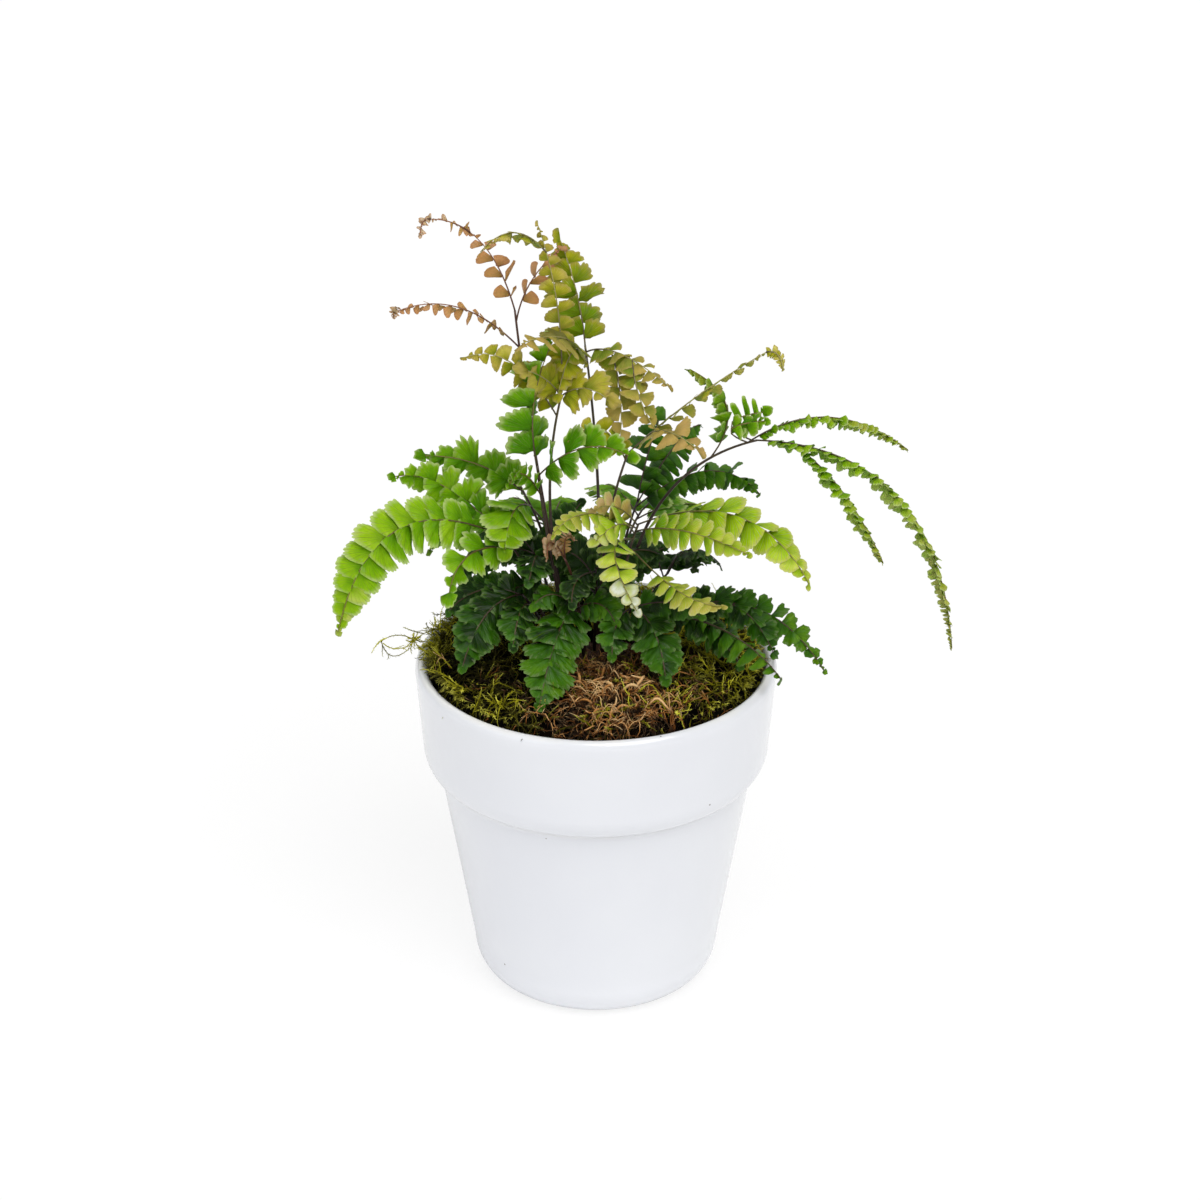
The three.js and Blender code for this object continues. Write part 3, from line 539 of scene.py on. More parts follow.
LEAN_HEIGHT = 1.2
LEAN_ROOT = 2
LEAN_ARCH = (1.6, 2.8)
FORK_ASIDE = (0.5, 1.3)  # how far a branch points aside and up, against ahead
FORK_UP = (-0.1, 0.7)
FORK_BEND = 0.4
KNOT = (-70.3, 0, 7.4)  # where the strays are tangled most
KNOT_SHOOTS = 16
KNOT_LENGTH = (2, 4.5)
KNOT_LUCK = (0.3, 0.9)
STRAY_LUCK = (0.2, 0.75)
DEPTH_SHADE = 0.11  # painted shade and light: how much more luck, and so how much brighter a colour, a strand is given a millimetre higher up
OPEN_HEIGHT = 1.2  # where it has just its own luck, without painted shade or light
SHADE_FROM = -1.5  # the heights between which this goes on
SHADE_TO = 3.5
PATCH_SCALE = 0.06  # of the brighter and duller patches, to the millimetre
TUFT_SCALE = 0.22
RIGHT_GLOW = 0.42  # how much brighter the moss is at the right edge than in the middle
BAKE_SPREAD = 0.004
MOSS_SEED = 5

# Shoots that lean out over the lip, all round and more at the left: how many, between which
# angles, how long and how high
LIP_SHOOTS = [
    (260, (DRY_TO, GREEN_TO), (3.2, 5.6), (-0.6, 0.9)),
    (90, (math.radians(150), math.radians(212)), (4.5, 9), (0.5, 4.5)),
]

# Shoots and threads that hang out over the rim at the left, knotted together in the middle:
# where each starts, passes and ends, and how many branches it has
STRAYS = [
    ((-70.3, 0, 7.4), (-76.4, 1, 9.1), (-83.1, 1, 6.5), 1),
    ((-83.1, 1, 6.5), (-78.8, -2, 1.5), (-71.8, -1, 4.5), 2),
    ((-82.3, 0, 6.1), (-77.2, -1, 4.1), (-70.7, 0, 6.1), 2),
    ((-80.7, 0, 8.3), (-83.8, 0, 6.6), (-86.6, 0, 2.2), 0),
    ((-54.8, 8, 6.4), (-61.5, 4, 10.2), (-70.3, 0, 7.4), 6),
    ((-70.3, 0, 7.4), (-67.9, -2, 5), (-63.9, -5, 3.9), 3),
    ((-69.4, 0, 9.2), (-71, -1, 6.7), (-71.5, -1, 3.2), 4),
    ((-73.4, 0, 7.4), (-70.6, -1, 7.5), (-67.5, 0, 9.2), 4),
    ((-60.4, 5, 8.4), (-60.3, 5, 12.7), (-59.8, 5, 17), 2),
    ((-63.5, 4, 8), (-62.6, 4, 11.5), (-61, 4, 14.1), 2),
    ((-57.8, 6, 7.8), (-56.1, 6, 11.8), (-53.8, 6, 14.4), 2),
    ((-54.6, -28, 4.7), (-61, -20, 4.4), (-67.4, -14, 1.7), 5),
    ((-55, -18, 4.6), (-59.7, -12, 7.1), (-62.2, -8, 8.1), 3),
]


def moss_top(angle, radius):
    """The mat's height at an angle round the pot and a radius."""
    inward = (MOSS_OUTER - radius) / (MOSS_OUTER - CROWN_RADIUS)
    swell = MOSS_SWELL * np.sin(math.pi / 2 * np.minimum(1, 1.4 * inward))
    tufts = np.sin(9 * angle + 0.4 * radius) * np.cos(5 * angle - 0.31 * radius)
    within = np.maximum(0, MOSS_OUTER - radius)
    pressed = EDGE_RISE * np.maximum(0, 1 - within / EDGE_WIDTH) ** 2
    pressed -= EDGE_DROP * np.maximum(0, 1 - within / EDGE_ROUND) ** 2
    return np.maximum(soil_top(radius) + MOSS_LEAST, MOSS_EDGE + swell + MOSS_TUFT * tufts) + pressed


def ground(x, y):
    """The height of what lies under a place: rootstock, moss or the rim, and nothing outside it."""
    radius = np.hypot(x, y)
    height = moss_top(np.arctan2(y, x), np.minimum(radius, MOSS_OUTER))
    height = np.where(radius < CROWN_RADIUS, ROOTSTOCK_TOP, height)
    height = np.where(radius > MOSS_OUTER, 0, height)
    return np.where(radius > RIM_RADIUS + 1, -RIM_HEIGHT, height)


def make_mat(from_angle, to_angle, spokes):
    """A mat of moss over a sector of the soil, closed underneath."""
    angles = np.linspace(from_angle, to_angle, spokes + 1)
    radii = np.linspace(CROWN_RADIUS, MOSS_OUTER, MAT_RINGS + 1)
    angle, radius = np.meshgrid(angles, radii, indexing="ij")
    x, y = radius * np.cos(angle), radius * np.sin(angle)
    places = zip(x.ravel() * MAT_GRAIN, y.ravel() * MAT_GRAIN)
    rough = [MAT_ROUGH * noise.fractal(Vector((*place, 0)), 0.9, 2.0, 3) for place in places]
    top = moss_top(angle, radius) - MAT_SUNK + np.reshape(rough, x.shape)
    low = soil_top(radius) + MAT_FOOT
    top = np.maximum(top, low + MAT_LEAST)
    points = np.concatenate([np.stack([x, y, z], -1).reshape(-1, 3) for z in (top, low)])
    under = len(points) // 2

    def at(i, j):
        return i * (MAT_RINGS + 1) + j

    faces = []
    for i in range(spokes):
        for j in range(MAT_RINGS):
            quad = (at(i, j), at(i, j + 1), at(i + 1, j + 1), at(i + 1, j))
            faces.append(quad)
            faces.append(tuple(under + corner for corner in quad[::-1]))
    inner = [at(i, 0) for i in range(spokes + 1)]
    outer = [at(i, MAT_RINGS) for i in range(spokes, -1, -1)]
    start = [at(0, j) for j in range(MAT_RINGS, -1, -1)]
    end = [at(spokes, j) for j in range(MAT_RINGS + 1)]
    for rim in (inner, end, outer, start):
        faces += [(a, b, under + b, under + a) for a, b in zip(rim, rim[1:])]
    return points, faces


def tube(centres, radii, sides):
    """A closed tube along centres, and how far along each of its points is, from 0 to 1."""
    count = len(centres)
    tangents = normalised(np.gradient(centres, axis=0))
    side = np.cross(tangents[0], (0.3, 0.2, 1.0) if abs(tangents[0][2]) < 0.9 else (1.0, 0.2, 0.1))
    turns = np.linspace(0, 2 * math.pi, sides, endpoint=False)
    rings = []
    for centre, tangent, radius in zip(centres, tangents, np.broadcast_to(radii, count)):
        side = side - tangent * side.dot(tangent)
        side /= np.linalg.norm(side)
        other = np.cross(tangent, side)
        rings.append(centre + radius * (np.cos(turns)[:, None] * side + np.sin(turns)[:, None] * other))
    caps = [tuple(range(sides))[::-1], tuple((count - 1) * sides + i for i in range(sides))]
    along = np.repeat(np.linspace(0, 1, count), sides)
    return np.concatenate(rings), caps + between_rings(count, sides), along


def wander(draw, x, y, length, steps, bend, rise, kink=0.5):
    """A line that winds over the moss from a place, rising by rise in its middle."""
    heading = draw.uniform(0, 2 * math.pi)
    turn = draw.uniform(-bend, bend)
    line = []
    for k in range(steps + 1):
        share = k / steps
        inside = min(1, MOSS_REACH / math.hypot(x, y))
        x, y = x * inside, y * inside
        over = rise * math.sin(math.pi * min(1, 1.25 * share)) - ROOT_DEPTH * (1 - share)
        line.append((x, y, float(moss_top(math.atan2(y, x), math.hypot(x, y))) + over))
        heading += turn / steps + draw.uniform(-kink, kink)
        x += length / steps * math.cos(heading)
        y += length / steps * math.sin(heading)
    return np.array(line)


def lean_out(draw, turn, length, rise):
    """A line from the moss by the rim out over its lip, at an angle round the pot."""
    run = np.linspace(0, 1, SHOOT_STEPS + 1)
    radius = MOSS_OUTER - LEAN_FROM + length * run
    sweep = turn + draw.uniform(-LEAN_SWEEP, LEAN_SWEEP) * run
    height = LEAN_HEIGHT - LEAN_ROOT * (1 - run) ** 2 + rise * np.sin(run * draw.uniform(*LEAN_ARCH))
    return np.stack([radius * np.cos(sweep), radius * np.sin(sweep), height], 1)


def fork(draw, line, length, steps):
    """A short line that leaves another one sideways."""
    k = draw.randrange(1, len(line) - 1)
    ahead = normalised(line[k] - line[k - 1])
    aside = np.cross(ahead, (0, 0, 1)) * draw.choice((-1, 1))
    heading = normalised(ahead + draw.uniform(*FORK_ASIDE) * aside + (0, 0, draw.uniform(*FORK_UP)))
    bend = normalised(np.array([draw.uniform(-1, 1) for _ in range(3)]))
    run = np.linspace(0, 1, steps + 1)[:, None]
    return line[k] + length * (heading * run + FORK_BEND * bend * run**2)


def bake_places(along, luck):
    """Where points lie in a map whose colours follow how far along they are and their luck. They
    are spread a little, so that no face is flat there."""
    spread = np.arange(len(along)) % 3 / 3 - 0.33
    return np.stack([0.02 + 0.95 * along, np.clip(luck + BAKE_SPREAD * spread, 0.005, 0.995)], 1)


def add_shaded_strand(growth, points, faces, along, luck):
    """Adds part of a strand: painted shade makes it duller than its luck down among the others, and
    painted light makes it brighter above them.
    """
    height = np.clip(points[:, 2] - ground(points[:, 0], points[:, 1]), SHADE_FROM, SHADE_TO)
    luck = np.clip(luck + DEPTH_SHADE * (height - OPEN_HEIGHT), 0, 1)
    growth.add(points, faces, along=along, luck=luck, OFBake=bake_places(along, luck))


def grow_shoot(growth, draw, line, radius, leaf, luck, branches):
    """A stem along a line with small pointed leaves all round, and shorter branches like it."""
    add_shaded_strand(growth, *tube(line, np.linspace(radius, radius * STEM_TIP, len(line)), 3), luck)
    steps = np.arange(len(line))
    length = np.linalg.norm(np.diff(line, axis=0), axis=1).sum()
    shares = np.linspace(0.1, 1, max(3, round(length / LEAF_SPACING)))
    places = shares * steps[-1]
    tangents = normalised(np.gradient(line, axis=0))
    roots = np.stack([np.interp(places, steps, line[:, k]) for k in range(3)], 1)
    forward = normalised(np.stack([np.interp(places, steps, tangents[:, k]) for k in range(3)], 1))
    rolls = draw.uniform(0, math.pi) + np.arange(len(places)) * LEAF_TURN
    level = normalised(np.cross(forward, (0.1, 0.1, 1)))
    up = np.cross(level, forward)
    outward = np.cos(rolls)[:, None] * level + np.sin(rolls)[:, None] * up
    headings = normalised(forward * LEAF_FORWARD + outward)
    flats = normalised(np.cross(headings, np.cross(forward, outward)))
    lengths = leaf * (1 - LEAF_DWINDLE * shares**2)
    points, faces = spikes(roots, headings, flats, lengths, leaf * LEAF_SLIM)
    along = np.clip(np.repeat(shares, 4) + np.tile([0, 0, 0, 0.12], len(roots)), 0, 1)
    add_shaded_strand(growth, points, faces, along, luck)
    for _ in range(branches):
        side = fork(draw, line, length * draw.uniform(*BRANCH_SHARE), 3)
        grow_shoot(growth, draw, side, radius * BRANCH_RADIUS, leaf * BRANCH_LEAF, luck, 0)


def moss_luck(draw, x, y):
    """How bright a shoot is, from 0 to 1: mostly by the patch that it grows in."""
    patch = 0.43 + 0.9 * noise.noise(Vector((x, y, 7)) * PATCH_SCALE) + RIGHT_GLOW * x / MOSS_OUTER
    tuft = 0.35 * noise.noise(Vector((x, y, 3)) * TUFT_SCALE)
    return min(1.0, max(0.0, 0.6 * (patch + tuft) + 0.4 * draw.random()))


# A mat of moss whose near-black colours are painted shade, for the deep shade down among the shoots and
# fibres over it.
def painted_shade_mat_material(name, dark, light):
    material, start, place = new_material(name)
    tangle = place.noise(700, 4, 0.75)
    patch = place.noise(90)
    tone = (patch * 0.5 + tangle * 0.5).step(0.42, 0.62).blend(paint(dark), paint(light))
    sockets = {
        "Base Color": tone,
        "Roughness": 0.85 + patch * 0.15,
        "Specular IOR Level": 0.05,
        "Normal": start.bump(tangle, 0.8),
    }
    skin(start, sockets)
    return material


def strand_material(name, stops, tip_tone):
    """Threads whose colour goes by their luck, which holds the painted shade and light of their height
    among the others, lighter at the tips, and let some light through.
    """
    material, start, _ = new_material(name)
    luck = start.value("luck")
    along = start.value("along")
    stops = [(share, paint(code)) for share, code in stops]
    tone = luck.node("ShaderNodeValToRGB", {"stops": stops}, {"Fac": luck})
    tone = (along.step(0.45, 1) * 0.55 * luck).blend(tone, paint(tip_tone))
    sockets = {"Base Color": tone, "Roughness": 0.8 - along * 0.15, "Specular IOR Level": 0.12}
    skin(start, sockets, shine=tip_tone, share=0.15)
    return material


class Arc:
    """A quadratic curve from start to end that passes through via, measured along its length."""

    def __init__(self, start, via, end):
        start, via, end = (np.array(place, float) for place in (start, via, end))
        self.start, self.control, self.end = start, 2 * via - (start + end) / 2, end
        self.shares = np.linspace(0, 1, 201)
        steps = np.linalg.norm(np.diff(self.by_share(self.shares), axis=0), axis=1)
        self.lengths = np.concatenate([[0], np.cumsum(steps)])
        self.length = self.lengths[-1]

    def by_share(self, share):
        share = np.reshape(share, (-1, 1))
        return (1 - share) ** 2 * self.start + 2 * share * (1 - share) * self.control + share**2 * self.end

    def point(self, along):
        """Places at distances along the curve, on its straight line beyond the ends."""
        inside = np.clip(along, 0, self.length)
        beyond = np.reshape(along - inside, (-1, 1))
        return self.by_share(np.interp(inside, self.lengths, self.shares)) + beyond * self.tangent(along)

    def tangent(self, along):
        share = np.reshape(np.interp(along, self.lengths, self.shares), (-1, 1))
        return normalised((1 - share) * (self.control - self.start) + share * (self.end - self.control))


moss_draw = random.Random(MOSS_SEED)
green_mat = Growth()
green_mat.add(*make_mat(DRY_TO, GREEN_TO, MAT_SPOKES))
# Its near-black colours are painted shade, down among the green shoots.
green_mat.piece("moss_green_mat", painted_shade_mat_material("moss_mat", "040301", "1a1806"), ["moss_green"])

green_moss_material = strand_material(
    "moss_shoots",
    [(0.0, "1d1a05"), (0.3, "454008"), (0.55, "7e7a10"), (0.8, "bcb622"), (1.0, "e8e448")],
    "ecea78",
)
green_shoots = Growth()
for k in range(SHOOTS):
    in_dry_patch = k % GREEN_IN_DRY == 0
    turn = moss_draw.uniform(DRY_FROM, DRY_TO) if in_dry_patch else moss_draw.uniform(DRY_TO, GREEN_TO)
    radius = math.sqrt(moss_draw.uniform(CROWN_RADIUS**2, MOSS_OUTER**2))
    x, y = radius * math.cos(turn), radius * math.sin(turn)
    rise = moss_draw.triangular(*SHOOT_RISE)
    line = wander(moss_draw, x, y, moss_draw.uniform(*SHOOT_LENGTH), SHOOT_STEPS, SHOOT_BEND, rise)
    leaf = MOSS_LEAF * moss_draw.uniform(*LEAF_VARIES)
    luck = moss_luck(moss_draw, x, y)
    grow_shoot(green_shoots, moss_draw, line, SHOOT_RADIUS, leaf, luck, SHOOT_BRANCHES)
green_shoots.piece("moss_green_shoots", green_moss_material, ["moss_green"])

rim_shoots = Growth()
for count, *spans in LIP_SHOOTS:
    for _ in range(count):
        line = lean_out(moss_draw, *[moss_draw.uniform(*span) for span in spans])
        luck = moss_luck(moss_draw, *line[0][:2])
        grow_shoot(rim_shoots, moss_draw, line, SHOOT_RADIUS, MOSS_LEAF, luck, 1)
for start, via, end, branches in STRAYS:
    arc = Arc(start, via, end)
    line = arc.point(np.linspace(0, arc.length, SHOOT_STEPS + 1))
    luck = moss_draw.uniform(*STRAY_LUCK)
    grow_shoot(rim_shoots, moss_draw, line, SHOOT_RADIUS, MOSS_LEAF * 0.9, luck, branches)
for _ in range(KNOT_SHOOTS):
    heading = np.array([moss_draw.uniform(-1, 1), moss_draw.uniform(-0.4, 0.4), moss_draw.uniform(-1, 1)])
    run = np.linspace(0, moss_draw.uniform(*KNOT_LENGTH), 4)[:, None]
    line = np.array(KNOT) + run * normalised(heading) + 0.08 * run**2 * (0, 0, -1)
    grow_shoot(rim_shoots, moss_draw, line, SHOOT_RADIUS, MOSS_LEAF, moss_draw.uniform(*KNOT_LUCK), 0)
rim_shoots.piece("moss_rim_shoots", green_moss_material, ["moss_green"])


# The dried moss: a patch at the front where the moss has died back to kinked, forking tan fibres,
# with flatter woody strips among them. Loose fibres also lie among the green shoots.
DRY_MIDDLE = (DRY_FROM + DRY_TO) / 2
DRY_SPREAD = 0.3  # of the fibres round the middle, in radians
DRY_SPOKES = 46
FIBRES = 900
FIBRE_STRAYS = 6  # one in this many lies anywhere in the front half
FIBRE_FROM = CROWN_RADIUS - 6
FIBRE_STEPS = 10
FIBRE_KINK = 0.55
FIBRE_BEND = 1.6
FIBRE_LENGTH = (6, 15)
FIBRE_RADIUS = (0.12, 0.3)
TWIGS_ON_FIBRE = 3
TWIG_LENGTH = (1.5, 4.5)
STRIPS = 12
STRIP_SPREAD = 0.25
STRIP_REACH = (CROWN_RADIUS + 4, MOSS_OUTER - 10)
STRIP_RISE = (2.5, 5)
STRIP_LENGTH = (10, 16)
STRIP_RADIUS = (0.45, 0.75)
STRIP_LUCK = (0.5, 0.9)
CLUMP_SCALE = 0.11  # of the clumps that the fibres stand up in, to the millimetre
CLUMP_RISE = 5.5
FIBRE_RISE = 0.3  # of a fibre between the clumps
FIBRE_LUCK = (-0.38, 0.42)


def grow_fibre(growth, draw, line, radius, luck, twigs):
    """A bare fibre with short twigs, thickest near its foot."""
    taper = radius * (1 - 0.6 * np.linspace(-0.6, 1, len(line)) ** 2)
    add_shaded_strand(growth, *tube(line, taper, 4), luck)
    for _ in range(twigs):
        side = fork(draw, line, draw.uniform(*TWIG_LENGTH), 3)
        add_shaded_strand(growth, *tube(side, np.linspace(radius, radius * 0.35, 4), 3), luck)


dry_mat = Growth()
dry_mat.add(*make_mat(DRY_FROM, DRY_TO, DRY_SPOKES))
# Its near-black colours are painted shade, down among the dried fibres.
dry_mat.piece("moss_dry_mat", painted_shade_mat_material("dry_moss_mat", "020100", "120903"), ["moss_dry"])

dry_fibres = Growth()
for k in range(FIBRES):
    strays = k % FIBRE_STRAYS == 0
    turn = moss_draw.uniform(-math.pi, 0) if strays else moss_draw.gauss(DRY_MIDDLE, DRY_SPREAD)
    radius = math.sqrt(moss_draw.uniform(FIBRE_FROM**2, MOSS_OUTER**2))
    x, y = radius * math.cos(turn), radius * math.sin(turn)
    clump = 0.5 + 0.9 * noise.noise(Vector((x, y, 11)) * CLUMP_SCALE)
    rise = FIBRE_RISE + CLUMP_RISE * clump * moss_draw.uniform(0.1, 1)
    length = moss_draw.uniform(*FIBRE_LENGTH)
    line = wander(moss_draw, x, y, length, FIBRE_STEPS, FIBRE_BEND, rise, FIBRE_KINK)
    luck = 0.57 * clump + moss_draw.uniform(*FIBRE_LUCK)
    grow_fibre(dry_fibres, moss_draw, line, moss_draw.uniform(*FIBRE_RADIUS), luck, TWIGS_ON_FIBRE)
for _ in range(STRIPS):
    turn = moss_draw.gauss(DRY_MIDDLE, STRIP_SPREAD)
    radius = moss_draw.uniform(*STRIP_REACH)
    x, y = radius * math.cos(turn), radius * math.sin(turn)
    rise = moss_draw.uniform(*STRIP_RISE)
    line = wander(moss_draw, x, y, moss_draw.uniform(*STRIP_LENGTH), FIBRE_STEPS, FIBRE_BEND, rise)
    radius = moss_draw.uniform(*STRIP_RADIUS)
    grow_fibre(dry_fibres, moss_draw, line, radius, moss_draw.uniform(*STRIP_LUCK), 1)
dry_moss_material = strand_material(
    "dry_moss_fibres",
    [(0.0, "080301"), (0.3, "2e1707"), (0.52, "7c4a1c"), (0.72, "c48a4c"), (1.0, "f0ca90")],
    "f4dcac",
)
dry_fibres.piece("moss_dry_fibres", dry_moss_material, ["moss_dry"])


# The stalks: twenty wiry stalks rise from the rootstock, near black and glossy below, paler where
# they are young. Each forks into a few pinnae, whose ribs thin out towards the tips, and all of
# them are rough with short hairs.
STALK_SEAT = -3
STALK_RADIUS = 0.78
STALK_EVEN = 6  # how far up it stays this thick
STALK_TOP_RADIUS = 0.42
STALK_STEP = 3  # between two rings of the mesh
STALK_SIDES = 9
STALK_AGES = (0, 0.3, 0.35)  # how young its foot, its top and its hairs look
RIB_RADIUS = 0.34
RIB_TIP_RADIUS = 0.16
RIB_STEP = 2.5
RIB_SIDES = 7
RIB_AGES = (0.3, 0.9, 0.4)
FIRST_SHARE = 0.68  # the first leaflet against the longest
LEAF_GAIN = 0.6  # how much longer they get on the way, but for the taper
LATE_TAPER = 3  # the higher this power, the nearer to the tip they dwindle
LAST_REACH = 0.9
TIP_CROWDING = 0.4  # the last leaflet's room against the first one's
CROWDED_FROM = 0.6  # the share of the rib where they start to crowd
HAIR = 0.55
HAIR_WIDTH = 0.1
HAIR_LENGTHS = (0.5, 1.1)
HAIRS_PER_MILLIMETRE = 2.2
HAIR_ROOT = 0.8  # how far out of the stalk's middle it starts, against the radius

# Which way a blade's upper face looks, half way along its rib
VIEWER = (0, -0.84, 0.55)
SKY = (0, -0.35, 0.94)
EDGE = (0, 0.42, 0.91)
RIGHT = (0.5, -0.65, 0.57)
BACK = (0, 0.6, 0.8)
OUT_LEFT = (-0.8, 0.2, 0.55)
LIFTED = (0.1, -0.5, 0.86)
STALK = -1  # what a pinna leaves when it isn't another pinna
STILL_GREEN = dict(youth=(0.2, 0.4), blush=(0, 0))


def pinna(at, via, tip, leaf, bare, on=STALK, gap=0, face=VIEWER, **looks):
    """A pinna leaves the stalk, or another pinna by its number, at a share of that one's length,
    and runs through via to its tip. leaf is its longest leaflet, bare the length of rib without
    leaflets, gap the air between two leaflets as a share of one's width, and looks what differs
    from the rest of its frond."""
    return dict(at=at, via=via, tip=tip, leaf=leaf, bare=bare, on=on, gap=gap, face=face, looks=looks)


def frond(slot, foot, via, top, looks, *pinnae):
    """A frond's stalk runs from its foot [x, y] on the rootstock through via to its top. Its looks are
    cut, the shape of its leaflets, and youth and blush, which go from the first value at a pinna's foot to
    the second at its tip: youth lightens a leaflet, blush turns it rosy or bronze. A low youth, down to
    below 0, on the fronds low in the plant or deep inside it is painted shade."""
    return dict(slot=slot, foot=foot, via=via, top=top, looks=looks, pinnae=pinnae)
